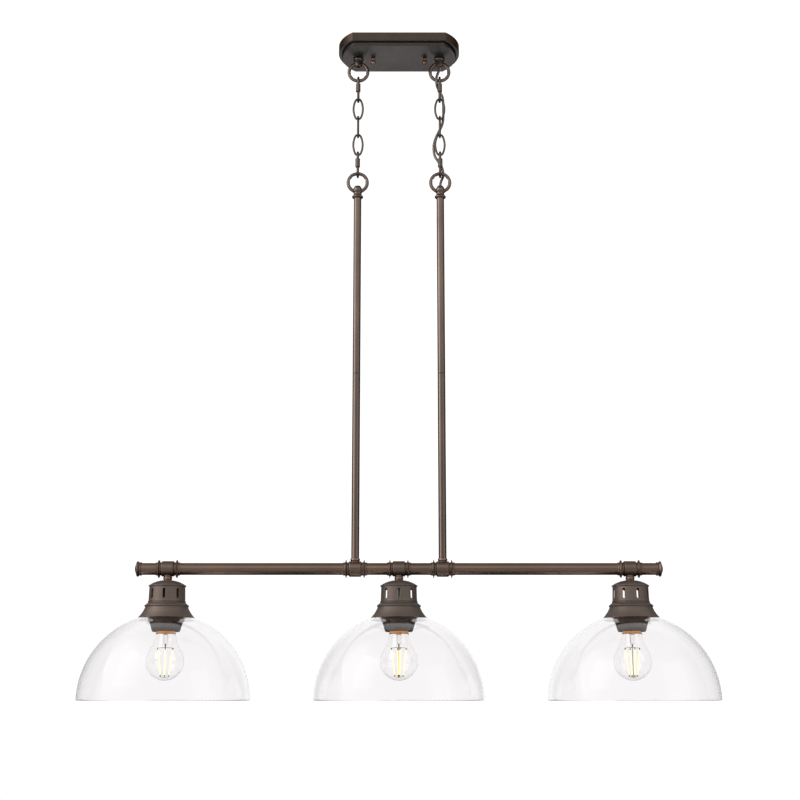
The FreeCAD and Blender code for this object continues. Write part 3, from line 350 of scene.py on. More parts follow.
def rubbed_bronze(name, brushing, brush_depth=0.006 * MM, wear_and_glint=0.5, tone=1.0, warmth=0.0,
                  rough=0.4, copper=0.0, metal=1.0, painted_underside=None):
    """Dark bronze patina over copper, softly clouded, brushed along one direction and rubbed at its
    edges, where the copper is also a painted highlight. Painted shade darkens its hollows with the
    dirt. A painted reflection colour replaces the patina on faces that look down."""
    finish = bpy.context.scene.pendant_finish
    bare_copper = list(finish.copper)
    surface = Surface(name)
    surface.set(metallic=metal, specular_tint=(*finish.edge_tint, 1.0))
    tones = [tone * (1 + shift * warmth) for shift in WARM_SHIFT]
    dark = [t * c for t, c in zip(tones, finish.bronze_dark)]
    brown = [t * c for t, c in zip(tones, finish.bronze_brown)]

    clouds = surface.between(surface.noise(CLOUD_SCALE, detail=3), *SOFT_SPAN)
    flecks = surface.between(surface.noise(FLECK_SCALE, detail=2), *HARD_SPAN)
    brushed = surface.noise(1, detail=2, stretch=brushing)
    streaks = surface.between(brushed, *HARD_SPAN)
    share = surface.calculate("MULTIPLY", clouds, CLOUD_PART)
    for pattern, part in ((streaks, STREAK_PART), (flecks, FLECK_PART)):
        share = surface.calculate("ADD", share, surface.calculate("MULTIPLY", pattern, part))
    patina = surface.mix(share, dark, brown)
    rubbed = surface.between(surface.noise(RUB_SCALE, detail=4), *HARD_SPAN, RUB_LEAST * copper, copper)
    patina = surface.mix(rubbed, patina, bare_copper)
    # Painted reflection: faces that look down take a flat grey that stands in for the darker
    # surroundings they mirror.
    if painted_underside:
        normal = surface.parts(surface.add("ShaderNodeTexCoord").outputs["Normal"])
        below = surface.mix(share, [PAINTED_UNDERSIDE_DARK * c for c in painted_underside],
                            [PAINTED_UNDERSIDE_LIGHT * c for c in painted_underside])
        patina = surface.mix(surface.between(normal["Z"], *PAINTED_UNDERSIDE_SPAN), patina, below)

    # Painted shade: hollows and inside corners darken as if shaded, along with the dirt that gathers
    # there.
    shade_and_grime = surface.closeness(2 * finish.edge_width, False)
    hollow = surface.calculate("MULTIPLY", shade_and_grime, SHADE_AND_GRIME_SHARE)
    patina = surface.mix(hollow, patina, [SHADE_AND_GRIME_TONE * c for c in dark])
    # Edge copper: partly bare metal rubbed through the finish, partly a painted highlight standing in
    # for the shine of rounded edges.
    bare = surface.between(surface.noise(WEAR_AND_GLINT_SCALE, detail=3), *WEAR_AND_GLINT_SPAN, WEAR_AND_GLINT_LEAST * wear_and_glint, wear_and_glint)
    worn_and_glinting = surface.calculate("MULTIPLY", surface.closeness(finish.edge_width, True), bare)
    surface.colour(surface.mix(worn_and_glinting, patina, bare_copper))
    matt = surface.between(share, 0, 1, rough + DARK_ROUGH, rough + BROWN_ROUGH)
    polish = surface.calculate("MULTIPLY", worn_and_glinting, WORN_ROUGH)
    surface.roughness(surface.calculate("SUBTRACT", matt, polish))
    surface.bump(brushed, brush_depth)
    return surface.material


# Each bronze: its name, the fineness of its grain along X, Y and Z, its other values, and what wears it.
BRONZES = [
    # The canopy's grey colour on faces that look down is a painted reflection, and its full edge copper
    # is partly a painted highlight on rounded edges.
    ("pressed canopy bronze", (260, 260, 260),
     {"wear_and_glint": 1.0, "tone": 0.46, "rough": 0.38, "warmth": 0.25, "painted_underside": (0.146, 0.14, 0.142)},
     ("canopy_pan",)),
    ("cast loop bronze", (900, 900, 900), {"brush_depth": 0.03 * MM, "rough": 0.3},
     ("canopy_loop", "rod_loop")),
    ("chain bronze", (600, 600, 600),
     {"brush_depth": 0.015 * MM, "wear_and_glint": 0.35, "tone": 0.7, "rough": 0.25},
     ("left_link", "right_link")),
    ("drawn rod bronze", (700, 700, 7), {"wear_and_glint": 0.4, "warmth": 0.3, "rough": 0.24},
     ("rod_left", "rod_right")),
    ("drawn bar bronze", (7, 700, 700), {"wear_and_glint": 0.4, "tone": 1.12, "warmth": 1.0, "rough": 0.34},
     ("bar_tubes",)),
    ("cast tee bronze", (600, 600, 600), {"brush_depth": 0.02 * MM, "warmth": 0.6, "rough": 0.38},
     ("rod_tee", "lamp_tees", "end_caps", "rod_collars")),
    ("spun lamp bronze", (10, 10, 1300), {"wear_and_glint": 0.4, "warmth": 0.1, "rough": 0.5, "metal": 0.7},
     ("vented_cap", "shade_holder")),
    # The left knob takes more copper than its twin on the right: the extra copper is a painted warm
    # reflection.
    ("rubbed copper", (12, 12, 900), {"wear_and_glint": 0.4, "rough": 0.33, "copper": 0.62},
     ("knob_left",)),
    ("half rubbed copper", (12, 12, 900), {"rough": 0.36, "copper": 0.34},
     ("rod_feet", "lamp_couplings", "knob_right")),
]


class PENDANT_OT_finish_bronze(bpy.types.Operator):
    """Finish the canopy, chains, rods, bar, tees, caps and holders in rubbed bronze."""

    bl_idname = "pendant.finish_bronze"
    bl_label = "Finish the bronze"

    def execute(self, context):
        for name, grain, values, nodes in BRONZES:
            dress(rubbed_bronze(name, grain, **values), nodes)
        return {"FINISHED"}


# Colour towards which clear glass greys with depth.
GLASS_DEPTH = (0.44, 0.44, 0.47)
# The thin clear glass of the bulbs.
BULB_TINT = (0.985, 0.983, 0.98)
BULB_SHINE = 0.7
BULB_IOR = 1.47


def clear_glass(name, tint, absorption, shine, ior=1.5):
    """Clear glass that greys where the light's way through it is long."""
    surface = Surface(name)
    surface.set(base_color=(*tint, 1.0), transmission_weight=1.0, roughness=0.0, ior=ior,
                specular_tint=(shine, shine, shine, 1.0))
    depth = surface.add("ShaderNodeVolumeAbsorption", color=(*GLASS_DEPTH, 1.0), density=absorption)
    surface.join(depth.outputs["Volume"], surface.output.inputs["Volume"])
    return surface.material


class PENDANT_OT_finish_glass(bpy.types.Operator):
    """Finish the three shades and the three bulb envelopes in clear glass."""

    bl_idname = "pendant.finish_glass"
    bl_label = "Finish the glass"

    def execute(self, context):
        finish = context.scene.pendant_finish
        dress(clear_glass("blown shade glass", finish.glass_tint, finish.glass_absorption,
                          finish.glass_shine), ("glass_shade",))
        dress(clear_glass("bulb envelope glass", BULB_TINT, finish.bulb_absorption, BULB_SHINE,
                          BULB_IOR), ("bulb_glass",))
        return {"FINISHED"}


# Tone of the stains on plated metal, and what they add to its roughness.
STAIN_TONE = 0.72
STAIN_ROUGH = 0.12
# Tone of the mottle in moulded plastic, and how far its roughness strays.
MOTTLE_TONE = 0.8
PLASTIC_ROUGH = 0.06


def plated(name, colour, rough, grain=(500, 500, 500)):
    """Plated or bare metal with faint stains and a fine grain."""
    surface = Surface(name)
    surface.set(metallic=1.0)
    stains = surface.between(surface.noise(70, detail=4), *STAIN_SPAN)
    surface.colour(surface.mix(stains, [STAIN_TONE * c for c in colour], colour))
    surface.roughness(surface.between(stains, 0, 1, rough + STAIN_ROUGH, rough))
    surface.bump(surface.noise(1, stretch=grain), 0.01 * MM)
    return surface.material


def mottled_plastic(surface, rough, depth):
    """Gives a surface the uneven gloss and fine grain of moulded plastic, and returns its mottle."""
    surface.roughness(surface.between(surface.noise(260), *FULL_SPAN, rough - PLASTIC_ROUGH,
                                      rough + PLASTIC_ROUGH))
    surface.bump(surface.noise(2600, detail=2), depth)
    return surface.between(surface.noise(60), *STAIN_SPAN)


def moulded(name, colour, rough):
    """Moulded plastic with a faintly mottled colour."""
    surface = Surface(name)
    mottle = mottled_plastic(surface, rough, 0.03 * MM)
    surface.colour(surface.mix(mottle, [MOTTLE_TONE * c for c in colour], colour))
    return surface.material


# Lead insulation: two greens of the earth lead, white of the neutral and black of the live.
EARTH_DARK = (0.02, 0.16, 0.05)
EARTH_LIGHT = (0.03, 0.21, 0.07)
NEUTRAL_COLOUR = (0.72, 0.71, 0.67)
LIVE_COLOUR = (0.02, 0.02, 0.022)
# The neutral lies beyond this Y. The live lies below a line that slopes with X and then runs level.
NEUTRAL_Y = 0.9 * MM
LIVE_SLOPE = -0.75
LIVE_Y = -12 * MM


def coloured_leads():
    """Lead insulation: white neutral on one side, black live on the other and green earth between."""
    surface = Surface("coloured lead insulation")
    place = surface.parts(surface.add("ShaderNodeTexCoord").outputs["Object"])
    out_of_cord = surface.calculate("SUBTRACT", middle_x("canopy_loop_right"), place["X"])
    slope = surface.calculate("MULTIPLY", out_of_cord, LIVE_SLOPE)
    limit = surface.calculate("MAXIMUM", slope, LIVE_Y)
    neutral = surface.calculate("GREATER_THAN", place["Y"], NEUTRAL_Y)
    live = surface.calculate("LESS_THAN", place["Y"], limit)
    mottle = mottled_plastic(surface, 0.4, 0.02 * MM)
    earth = surface.mix(mottle, EARTH_DARK, EARTH_LIGHT)
    either = surface.mix(neutral, earth, NEUTRAL_COLOUR)
    surface.colour(surface.mix(live, either, LIVE_COLOUR))
    return surface.material


# Brass of the screw shells, and the colour of a painted glow that stands in for the filaments lighting
# it.
BRASS_COLOUR = (0.6, 0.25, 0.02)
BRASS_GLOW = (1.0, 0.38, 0.01)


def lamp_brass(name, painted_glow):
    """Yellow brass of the screw shells, with an even painted glow that stands in for the filaments'
    light.
    """
    material = plated(name, BRASS_COLOUR, rough=0.34, grain=(20, 20, 900))
    shader = material.node_tree.nodes["Principled BSDF"]
    shader.inputs["Emission Color"].default_value = (*BRASS_GLOW, 1.0)
    shader.inputs["Emission Strength"].default_value = painted_glow
    return material


# Metals and plastics: the name, colour and roughness of each, and what wears it.
METALS = [
    ("zinc plated steel", (0.55, 0.54, 0.5), 0.3,
     ("mounting_strap", "canopy_studs", "loop_nuts", "rod_joiners", "lamp_nipples")),
    ("green lacquered screw", (0.05, 0.3, 0.1), 0.25, ("ground_screw",)),
]
PLASTICS = [
    ("black phenolic", (0.03, 0.028, 0.027), 0.42, ("lampholders",)),
    ("brown bushing plastic", (0.06, 0.045, 0.038), 0.42, ("canopy_cord_bushing", "rod_cord_bushing")),
    ("lead insulation", (0.05, 0.045, 0.04), 0.35, ("lamp_leads",)),
    ("connector plastic", (0.62, 0.2, 0.03), 0.4, ("wire_connectors",)),
]


class PENDANT_OT_finish_hardware(bpy.types.Operator):
    """Finish the steel hardware, brass, plastics and wiring."""

    bl_idname = "pendant.finish_hardware"
    bl_label = "Finish the hardware"

    def execute(self, context):
        for name, colour, rough, nodes in METALS:
            dress(plated(name, colour, rough), nodes)
        for name, colour, rough, nodes in PLASTICS:
            dress(moulded(name, colour, rough), nodes)
        dress(lamp_brass("drawn brass", 0.0), ("lampholder_shells",))
        # The bulbs' screw shells get the painted glow.
        dress(lamp_brass("lit brass", 0.3), ("bulb_base",))
        dress(coloured_leads(), ("canopy_leads",))
        return {"FINISHED"}


# Cord

# Route through the right chain, in mm: X from the chain's centre line, Y from the middle plane and Z
# from the ceiling.
CORD_ROUTE = [
    (0.0, 0.0, -32.0), (0.0, 0.0, -40.5), (-2.7, -2.8, -49.0), (-5.5, -5.9, -57.5),
    (-6.0, -5.7, -66.5), (-4.0, -1.3, -75.0), (1.0, 1.9, -82.5), (5.6, 4.0, -91.0),
    (6.2, 5.2, -101.5), (6.3, 5.2, -113.0), (6.2, 5.2, -124.0), (5.8, 5.0, -134.5),
    (3.2, 2.6, -145.0), (-1.6, 1.7, -154.0), (-6.6, 5.2, -163.5), (-10.4, 5.6, -175.0),
    (-10.8, 5.4, -187.0), (-9.2, 4.6, -198.5), (-4.0, 1.8, -207.5), (2.0, 2.6, -216.0),
    (5.4, 6.2, -225.0), (5.5, 6.2, -234.8), (2.1, 2.4, -243.0), (0.0, 0.0, -250.8),
    (0.0, 0.0, -258.0)]
# Bodies whose joints the cord crosses on its way down.
CORD_BODIES = ["right_link_1", "right_link_2", "right_link_3", "right_link_4", "right_link_5", "fixture"]
# The cord holds three twisted conductors, and this many fine strands show round its jacket.
CONDUCTORS = 3
STRANDS = 27
# The jacket between its conductors, and their copper seen through it.
JACKET_BROWN = (0.028, 0.019, 0.015)
JACKET_COPPER = (0.27, 0.135, 0.085)
# Height on a conductor's wave from which its copper shows, and from which it shows in full.
CROWN_SPAN = (-0.1, 0.9)
# Share of the copper between the strands and on them, and how metallic it looks.
STRAND_SHARES = (0.3, 0.85)
COPPER_METAL = 0.75
# Least and greatest roughness of the jacket.
JACKET_ROUGH = (0.24, 0.4)


def route_line(points):
    """Points along the smooth NURBS line that a cord's route controls."""
    data = bpy.data.curves.new("cord route", "CURVE")
    data.dimensions = "3D"
    data.resolution_u = 24
    spline = data.splines.new("NURBS")
    spline.points.add(len(points) - 1)
    for target, point in zip(spline.points, points):
        target.co = (*point, 1.0)
    spline.order_u = 3
    spline.use_endpoint_u = True
    holder = bpy.data.objects.new("cord route", data)
    mesh = bpy.data.meshes.new_from_object(holder)
    line = [vertex.co.copy() for vertex in mesh.vertices]
    bpy.data.meshes.remove(mesh)
    bpy.data.objects.remove(holder)
    bpy.data.curves.remove(data)
    return line


def evenly(line, step):
    """The same line with points at even distances."""
    places = [0.0]
    for before, after in zip(line, line[1:]):
        places.append(places[-1] + (after - before).length)
    count = max(2, round(places[-1] / step))
    spaced = []
    leg = 0
    for number in range(count + 1):
        place = places[-1] * number / count
        while leg < len(places) - 2 and places[leg + 1] < place:
            leg += 1
        share = (place - places[leg]) / max(places[leg + 1] - places[leg], 1e-9)
        spaced.append(line[leg].lerp(line[leg + 1], share))
    return spaced


def carried_frames(line):
    """For each point, the direction ahead and one direction across that doesn't spin."""
    frames = []
    across = Vector((1, 0, 0))
    for number in range(len(line)):
        ahead = (line[min(number + 1, len(line) - 1)] - line[max(number - 1, 0)]).normalized()
        across = (across - ahead * across.dot(ahead)).normalized()
        frames.append((ahead, across.copy()))
    return frames


def tube_mesh(name, line, frames, first_place, step, cord):
    """A closed tube with a twisted lobe over each conductor, and a UV map round and along it."""
    shape = bmesh.new()
    uv = shape.loops.layers.uv.new("cord")
    rings = []
    for number, (point, (ahead, across)) in enumerate(zip(line, frames)):
        place = first_place + number * step
        aside = ahead.cross(across)
        ring = []
        for side in range(cord.ring_sides):
            angle = 2 * math.pi * side / cord.ring_sides
            twist = 2 * math.pi * place / cord.twist_pitch
            dip = 0.5 - 0.5 * math.cos(CONDUCTORS * (angle - twist))
            radius = cord.diameter / 2 * (1 - cord.lobe_depth * dip)
            ring.append(shape.verts.new(
                point + across * (radius * math.cos(angle)) + aside * (radius * math.sin(angle))))
        rings.append(ring)
    for number, (low, high) in enumerate(zip(rings, rings[1:])):
        for side in range(cord.ring_sides):
            after = (side + 1) % cord.ring_sides
            face = shape.faces.new((low[side], low[after], high[after], high[side]))
            corners = ((side, 0), (side + 1, 0), (side + 1, 1), (side, 1))
            for loop, (around, along) in zip(face.loops, corners):
                loop[uv].uv = (around / cord.ring_sides, first_place + (number + along) * step)
    shape.faces.new(list(reversed(rings[0])))
    shape.faces.new(rings[-1])
    bmesh.ops.recalc_face_normals(shape, faces=shape.faces)
    for face in shape.faces:
        face.smooth = len(face.verts) == 4
    mesh = bpy.data.meshes.new(name)
    shape.to_mesh(mesh)
    shape.free()
    piece = bpy.data.objects.new(name, mesh)
    bpy.context.scene.collection.objects.link(piece)
    return piece


def clear_jacket(cord):
    """Clear brown jacket over twisted conductors, whose copper glints between the brown."""
    surface = Surface("clear brown jacket")
    surface.set(coat_weight=0.7, coat_roughness=0.08, ior=1.5)
    place = surface.parts(surface.add("ShaderNodeUVMap", uv_map="cord").outputs["UV"])
    turns = surface.calculate("DIVIDE", place["Y"], cord.twist_pitch)
    lay = surface.calculate("SUBTRACT", place["X"], turns)
    waves = []
    for count in (CONDUCTORS, STRANDS):
        angle = surface.calculate("MULTIPLY", lay, 2 * math.pi * count)
        waves.append(surface.calculate("SINE", angle))
    conductors, strands = waves
    crown = surface.between(conductors, *CROWN_SPAN)
    share = surface.calculate("MULTIPLY", crown, surface.between(strands, 0, 1, *STRAND_SHARES))
    surface.colour(surface.mix(share, JACKET_BROWN, JACKET_COPPER))
    surface.join(surface.between(share, 0, 1, 0.0, COPPER_METAL), surface.shader.inputs["Metallic"])
    surface.roughness(surface.between(surface.noise(300), *FULL_SPAN, *JACKET_ROUGH))
    surface.bump(strands, 0.03 * MM, strength=0.6)
    return surface.material


def joint_of(body):
    """The joint that carries a body."""
    return next(joint for joint in frame["joints"] if joint["child"] == body)


class PENDANT_OT_weave_cord(bpy.types.Operator):
    """Weave the cord through the right chain, one stretch for each joint that it crosses."""

    bl_idname = "pendant.weave_cord"
    bl_label = "Weave the cord"

    def execute(self, context):
        cord = context.scene.pendant_cord
        centre_x = middle_x("canopy_loop_right")
        points = [Vector((centre_x + x * MM, y * MM, z * MM)) for x, y, z in CORD_ROUTE]
        line = evenly(route_line(points), cord.ring_step)
        step = (line[1] - line[0]).length
        frames = carried_frames(line)
        material = clear_jacket(cord)
        joints = [joint_of(body) for body in CORD_BODIES]
        heights = [joint["pos_m"][2] for joint in joints]
        middles = [(above + below) / 2 for above, below in zip(heights, heights[1:])]
        # The stretches meet half way between the joints, and the outer levels lie past the cord's ends.
        levels = [line[0].z + 1] + middles + [line[-1].z - 1]
        for number, (joint, height) in enumerate(zip(joints, heights)):
            inside = [i for i, p in enumerate(line) if levels[number + 1] <= p.z <= levels[number]]
            start = max(inside[0] - 1, 0) if number else 0
            stretch = line[start:inside[-1] + 1]
            piece = tube_mesh(f"cord_stretch_{number + 1}", stretch, frames[start:inside[-1] + 1],
                              start * step, step, cord)
            piece.data.materials.append(material)
            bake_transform(piece)
            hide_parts("cord")
        return {"FINISHED"}


# Bulbs

# Sides of the round filaments, of their clips and of the wires.
STRIP_SIDES = 14
CLIP_SIDES = 12
WIRE_SIDES = 10
# Thickness and rounding of a filament's parts, as shares of its diameter.
STRIP_ROUNDING = 0.3
CLIP_THICKNESS = 0.95
CLIP_ROUNDING = 0.1
# How far a clip reaches over its filament, as a share of its visible length.
CLIP_REACH = 1.15
# Thickness of the wire on a bulb's axis and of its lead wires, as shares of the support wires'.
AXIS_THICKNESS = 1.5
LEAD_THICKNESS = 1.15
# Height from a hub to the filament ends that it holds, and from the stem's foot to the lower hub.
HUB_RISE = 1.2 * MM
HUB_GAP = 0.3 * MM
# Angle past which an edge of a round rod stays sharp.
ROD_CREASE = math.radians(40)
# Coat of the filaments, tone of their dimmer spots, and colour of their wires.
PHOSPHOR = (0.9, 0.62, 0.24)
DIM_SPOT = 0.92
WIRE_COLOUR = (0.16, 0.105, 0.065)
# A lead wire's bends, in mm: distance from the bulb's axis, level that the height counts from, height.
LEAD_BENDS = [(3.0, "skirt", 2.0), (2.3, "stem", 2.6), (0.9, "stem", 0.5), (0.5, "hub", 0.0)]


def add_rod(start, end, diameter, sides=16, rounding=0.0):
    """A round rod between two points, with bevelled ends, as a new selected object."""
    way = end - start
    bpy.ops.mesh.primitive_cylinder_add(
        vertices=sides, radius=diameter / 2, depth=way.length, location=(start + end) / 2,
        rotation=way.to_track_quat("Z", "Y").to_euler())
    piece = bpy.context.object
    if rounding:
        bevel = piece.modifiers.new("rounded ends", "BEVEL")
        bevel.width = rounding
        bevel.segments = 3
        bevel.angle_limit = ROD_CREASE
        bpy.ops.object.modifier_apply(modifier=bevel.name)
    bpy.ops.object.shade_smooth_by_angle(angle=ROD_CREASE)
    return piece


def join_pieces(pieces, name):
    """Joins pieces into one object at the origin, with its place in its mesh."""
    bpy.ops.object.select_all(action="DESELECT")
    for piece in pieces:
        piece.select_set(True)
    bpy.context.view_layer.objects.active = pieces[0]
    bpy.ops.object.join()
    bpy.ops.object.transform_apply(location=True, rotation=True, scale=True)
    whole = bpy.context.object
    whole.name = name
    whole.data.name = name
    bpy.ops.object.select_all(action="DESELECT")
    return whole


def copy_to(piece, name, offset):
    """A copy with its own mesh, moved by an offset in its mesh."""
    twin = piece.copy()
    twin.data = piece.data.copy()
    twin.name = name
    twin.data.name = name
    for vertex in twin.data.vertices:
        vertex.co += offset
    bpy.context.scene.collection.objects.link(twin)
    return twin


def glowing(bulb):
    """The lit phosphor coat: warm, slightly uneven along the strip."""
    surface = Surface("lit phosphor")
    surface.set(base_color=(*PHOSPHOR, 1.0), roughness=0.6, emission_strength=bulb.glow_strength)
    spots = surface.between(surface.noise(1, detail=1, stretch=(60, 60, 700)), *FULL_SPAN)
    glow = surface.mix(spots, [DIM_SPOT * c for c in bulb.glow], list(bulb.glow))
    surface.join(glow, surface.shader.inputs["Emission Color"])
    return surface.material


class PENDANT_OT_light_filaments(bpy.types.Operator):
    """Build the lit filaments with their clips, support wires and lead wires in each bulb."""

    bl_idname = "pendant.light_filaments"
    bl_label = "Light the filaments"

    def execute(self, context):
        bulb = context.scene.pendant_bulb
        low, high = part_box("bulb_filaments_centre")
        axis = Vector((middle_x("bulb_filaments_centre"), 0, 0))
        up = Vector((0, 0, 1))
        lower_hub = low.z + HUB_GAP
        foot_z = lower_hub + HUB_RISE
        head_z = foot_z + bulb.strip_height
        upper_hub = head_z + HUB_RISE
        thick = bulb.strip_diameter
        strips = []
        wires = [add_rod(axis + up * low.z, axis + up * high.z, AXIS_THICKNESS * bulb.wire_diameter)]
        for number in range(bulb.count):
            angle = bulb.turn + number * 2 * math.pi / bulb.count
            outward = Vector((math.cos(angle), math.sin(angle), 0))
            foot = axis + up * foot_z + outward * bulb.foot_circle / 2
            head = axis + up * head_z + outward * bulb.top_circle / 2
            clip = (head - foot).normalized() * bulb.crimp_length
            strips.append(add_rod(foot + clip, head - clip, thick, STRIP_SIDES, STRIP_ROUNDING * thick))
            for end, inner, hub in ((foot, foot + CLIP_REACH * clip, lower_hub),
                                    (head, head - CLIP_REACH * clip, upper_hub)):
                wires.append(add_rod(end, inner, CLIP_THICKNESS * thick, CLIP_SIDES,
                                     CLIP_ROUNDING * thick))
                wires.append(add_rod(end, axis + up * hub, bulb.wire_diameter, WIRE_SIDES))
        levels = {"skirt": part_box("bulb_base_centre")[0].z, "stem": high.z, "hub": upper_hub}
        for side in (-1, 1):
            out = Vector((side * math.cos(bulb.turn), side * math.sin(bulb.turn), 0))
            bends = [axis + out * (reach * MM) + up * (levels[level] + rise * MM)
                     for reach, level, rise in LEAD_BENDS]
            for above, below in zip(bends, bends[1:]):
                wires.append(add_rod(above, below, LEAD_THICKNESS * bulb.wire_diameter, WIRE_SIDES))
        dark_wire = plated("dark support wire", WIRE_COLOUR, rough=0.4)
        for pieces, material in ((strips, glowing(bulb)), (wires, dark_wire)):
            for piece in pieces:
                piece.data.materials.append(material)
        model = join_pieces(strips + wires, "lit_filaments_centre")
        for place in LAMPS:
            offset = Vector((middle_x(f"bulb_filaments_{place}") - axis.x, 0, 0))
            piece = model if place == "centre" else copy_to(model, f"lit_filaments_{place}", offset)
            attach(piece, f"bulb_{place}")
            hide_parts(f"bulb_filaments_{place}")
        return {"FINISHED"}


# Retaining rings

# The ring that clamps a shade from below, in mm: radius, and drop from the glass that it presses on.
RING_PROFILE = [
    (20.3, 0.0), (28.2, 0.0), (28.8, 0.5), (28.8, 1.9), (28.3, 2.5), (26.9, 3.1), (26.1, 4.6),
    (25.0, 8.0), (24.0, 11.5), (23.0, 14.8), (22.2, 17.4), (21.8, 18.3), (21.2, 18.7), (20.3, 18.7)]
# Angle past which an edge of a ring stays sharp.
RING_CREASE = math.radians(38)


def turn_ring(profile, middle, sides=96):
    """A closed ring of revolution, extruded edge by edge from a circle round its axis."""
    first_radius, first_drop = profile[0]
    bpy.ops.mesh.primitive_circle_add(vertices=sides, radius=first_radius * MM,
                                      location=middle - Vector((0, 0, first_drop * MM)))
    piece = bpy.context.object
    bpy.ops.object.mode_set(mode="EDIT")
    bpy.ops.mesh.select_all(action="SELECT")
    for (radius, drop), (next_radius, next_drop) in zip(profile, profile[1:] + profile[:1]):
        bpy.ops.mesh.extrude_edges_move(
            TRANSFORM_OT_translate={"value": (0, 0, (drop - next_drop) * MM)})
        share = next_radius / radius
        bpy.ops.transform.resize(value=(share, share, 1), center_override=middle)
    bpy.ops.mesh.select_all(action="SELECT")
    bpy.ops.mesh.remove_doubles(threshold=0.01 * MM)
    bpy.ops.mesh.normals_make_consistent(inside=False)
    bpy.ops.object.mode_set(mode="OBJECT")
    bpy.ops.object.shade_smooth_by_angle(angle=RING_CREASE)
    return piece


class PENDANT_OT_turn_rings(bpy.types.Operator):
    """Turn the tapered rings that clamp the shades, in place of the plain ones."""

    bl_idname = "pendant.turn_rings"
    bl_label = "Turn the retaining rings"

    def execute(self, context):
        bpy.ops.object.select_all(action="DESELECT")
        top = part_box("retaining_rings")[1].z
        middles = [Vector((middle_x(f"bulb_base_{place}"), 0, top)) for place in LAMPS]
        rings = [turn_ring(RING_PROFILE, middle) for middle in middles]
        whole = join_pieces(rings, "tapered_retaining_rings")
        whole.data.materials.append(rubbed_bronze(
            "threaded ring bronze", (10, 10, 900), wear_and_glint=0.2, tone=0.42, warmth=0.7, rough=0.42,
            metal=0.85))
        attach(whole, "fixture")
        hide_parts("retaining_rings")
        return {"FINISHED"}


# Studio

# Point that the lights and the cards face.
AIM = (0, 0, -0.7)
# Soft lights: name, place, width, height, watts and colour.
LIGHTS = [
    ("key light", (-2.0, -1.6, 0.6), 1.6, 2.2, 26, WHITE),
    ("fill light", (2.2, -1.4, -0.2), 1.4, 2.0, 14, (1.0, 0.96, 0.93)),
]
# Cards: name, place, width, height, brightness, softness of the edges and colour.
CARDS = [
    ("left soft box", (-2.15, -0.75, 0.3), 3.2, 4.4, 4.4, 1.2, WHITE),
    ("right soft box", (2.0, -1.7, 0.0), 1.5, 3.2, 1.4, 1.3, (1.0, 0.95, 0.9)),
    ("top soft box", (0, -2.1, 0.5), 3.8, 1.5, 1.75, 1.3, WHITE),
    ("front card", (0.4, -3.4, -0.8), 3.8, 2.6, 0.5, 0.8, WHITE),
    ("ceiling card", (0, -0.3, 1.3), 3.6, 2.4, 0.35, 1.2, WHITE),
    ("rear card -1", (-1.9, 1.5, -0.6), 2.6, 4.0, 0.03, 1.2, WHITE),
    ("side card -1", (-2.5, 0.35, -0.6), 2.0, 4.0, 0.03, 1.1, WHITE),
    ("rear card 1", (1.9, 1.5, -0.6), 2.6, 4.0, 0.03, 1.2, WHITE),
    ("side card 1", (2.5, 0.35, -0.6), 2.0, 4.0, 0.03, 1.1, WHITE),
]


def soft_light(name, place, width, height, power, colour):
    """A soft box that faces the aim and stays out of reflections."""
    data = bpy.data.lights.new(name, "AREA")
    data.shape = "RECTANGLE"
    data.size = width
    data.size_y = height
    data.energy = power
    data.color = colour
    light = bpy.data.objects.new(name, data)
    light.location = place
    light.rotation_euler = (Vector(AIM) - Vector(place)).to_track_quat("-Z", "Y").to_euler()
    light.visible_camera = False
    light.visible_glossy = False
    bpy.context.scene.collection.objects.link(light)


def fading_card(name, place, width, height, brightness, softness, colour, target=AIM):
    """A card, bright or dark, that only reflections see, and that fades out towards its edges."""
    shade = Surface(name)
    shade.nodes.remove(shade.shader)
    glow = shade.add("ShaderNodeEmission", color=(*colour, 1.0), strength=brightness)
    spot = shade.parts(shade.add("ShaderNodeUVMap").outputs["UV"])
    fades = []
    for axis in ("X", "Y"):
        other_side = shade.calculate("SUBTRACT", 1.0, spot[axis])
        # This product runs from 0 at both edges to a quarter in the middle.
        hump = shade.calculate("MULTIPLY", spot[axis], other_side)
        fades.append(shade.calculate("POWER", shade.between(hump, 0.0, 0.25), softness))
    clear = shade.add("ShaderNodeBsdfTransparent")
    blend = shade.add("ShaderNodeMixShader")
    shade.join(shade.calculate("MULTIPLY", *fades), blend.inputs["Fac"])
    shade.join(clear.outputs["BSDF"], blend.inputs[1])
    shade.join(glow.outputs["Emission"], blend.inputs[2])
    shade.join(blend.outputs["Shader"], shade.output.inputs["Surface"])
    bpy.ops.mesh.primitive_plane_add(size=1, location=place)
    card = bpy.context.object
    card.name = name
    card.scale = (width, height, 1)
    card.rotation_euler = (Vector(target) - Vector(place)).to_track_quat("Z", "Y").to_euler()
    card.visible_camera = False
    card.visible_diffuse = False
    card.visible_transmission = False
    card.visible_shadow = False
    card.data.materials.append(shade.material)


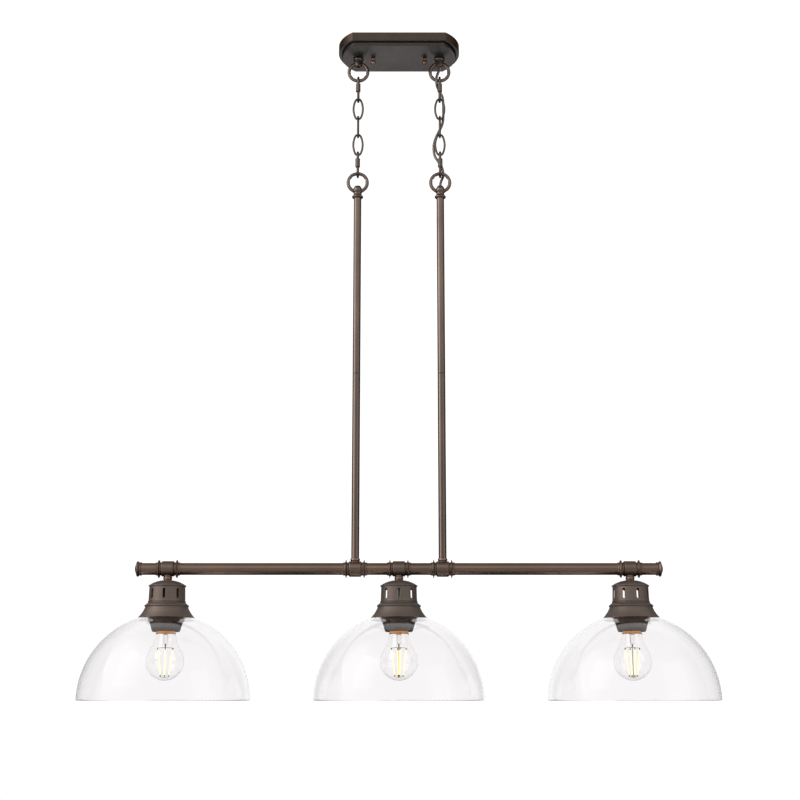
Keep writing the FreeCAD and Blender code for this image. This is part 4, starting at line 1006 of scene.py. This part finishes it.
class PENDANT_OT_set_studio(bpy.types.Operator):
    """Set the camera, the pale floor, the soft lights and the reflection cards."""

    bl_idname = "pendant.set_studio"
    bl_label = "Set the studio"

    def execute(self, context):
        studio = context.scene.pendant_studio
        scene = context.scene
        camera_data = bpy.data.cameras.new("camera")
        camera_data.lens = studio.lens
        camera_data.sensor_width = 36.0
        camera = bpy.data.objects.new("camera", camera_data)
        camera.location = (studio.aside, -studio.distance, studio.eye_height)
        camera.rotation_euler = (math.pi / 2 + studio.pitch, 0, 0)
        scene.collection.objects.link(camera)
        scene.camera = camera
        self.make_floor(studio)
        self.make_world(scene, studio)
        self.make_lights(studio)
        scene.view_settings.view_transform = "Standard"
        return {"FINISHED"}

    def make_floor(self, studio):
        """A wide floor of white paper."""
        bpy.ops.mesh.primitive_plane_add(size=140, location=(0, 0, studio.floor_height))
        floor = bpy.context.object
        floor.name = "studio_floor"
        paper = Surface("white studio floor")
        paper.set(roughness=1.0, specular_ior_level=0.0)
        paper.colour(paper.mix(paper.noise(3), (0.9, 0.9, 0.9), (0.93, 0.93, 0.93)))
        floor.data.materials.append(paper.material)

    def make_world(self, scene, studio):
        """White surroundings, evenly lit."""
        world = bpy.data.worlds.new("white studio")
        world.use_nodes = True
        sky = world.node_tree.nodes["Background"]
        sky.inputs["Color"].default_value = (*WHITE, 1.0)
        sky.inputs["Strength"].default_value = studio.surroundings
        scene.world = world

    def make_lights(self, studio):
        """The soft lights, and the cards that the metal and the glass mirror."""
        for values in LIGHTS:
            soft_light(*values)
        for values in CARDS:
            fading_card(*values)
        # The card over the floor lies level and darkens what the metal's undersides mirror.
        fading_card("floor card", (0, 0.5, studio.card_height), 3.6, 4.6, 0.05, 2.0, WHITE,
                    target=(0, 0.5, -4))


class PENDANT_PT_build(bpy.types.Panel):
    """Lists the steps that dress the pendant."""

    bl_idname = "PENDANT_PT_build"
    bl_label = "Linear island pendant"
    bl_space_type = "VIEW_3D"
    bl_region_type = "UI"
    bl_category = "Pendant"

    def draw(self, context):
        for step in STEPS:
            self.layout.operator(step.bl_idname)
        for name in SETTINGS:
            group = getattr(context.scene, name)
            for setting in group.__annotations__:
                self.layout.prop(group, setting)


SETTINGS = {
    "pendant_finish": PENDANT_PG_finish,
    "pendant_cord": PENDANT_PG_cord,
    "pendant_bulb": PENDANT_PG_bulb,
    "pendant_studio": PENDANT_PG_studio,
}
STEPS = [
    PENDANT_OT_finish_bronze,
    PENDANT_OT_finish_glass,
    PENDANT_OT_finish_hardware,
    PENDANT_OT_weave_cord,
    PENDANT_OT_light_filaments,
    PENDANT_OT_turn_rings,
    PENDANT_OT_set_studio,
]


def register():
    for kind in [*SETTINGS.values(), *STEPS, PENDANT_PT_build]:
        bpy.utils.register_class(kind)
    for name, kind in SETTINGS.items():
        setattr(bpy.types.Scene, name, bpy.props.PointerProperty(type=kind))


def unregister():
    for name in SETTINGS:
        delattr(bpy.types.Scene, name)
    for kind in reversed([*SETTINGS.values(), *STEPS, PENDANT_PT_build]):
        bpy.utils.unregister_class(kind)


def main():
    """Runs every step."""
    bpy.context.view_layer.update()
    register()
    bpy.ops.pendant.finish_bronze()
    bpy.ops.pendant.finish_glass()
    bpy.ops.pendant.finish_hardware()
    bpy.ops.pendant.weave_cord()
    bpy.ops.pendant.light_filaments()
    bpy.ops.pendant.turn_rings()
    bpy.ops.pendant.set_studio()


if __name__ == "__main__":
    main()
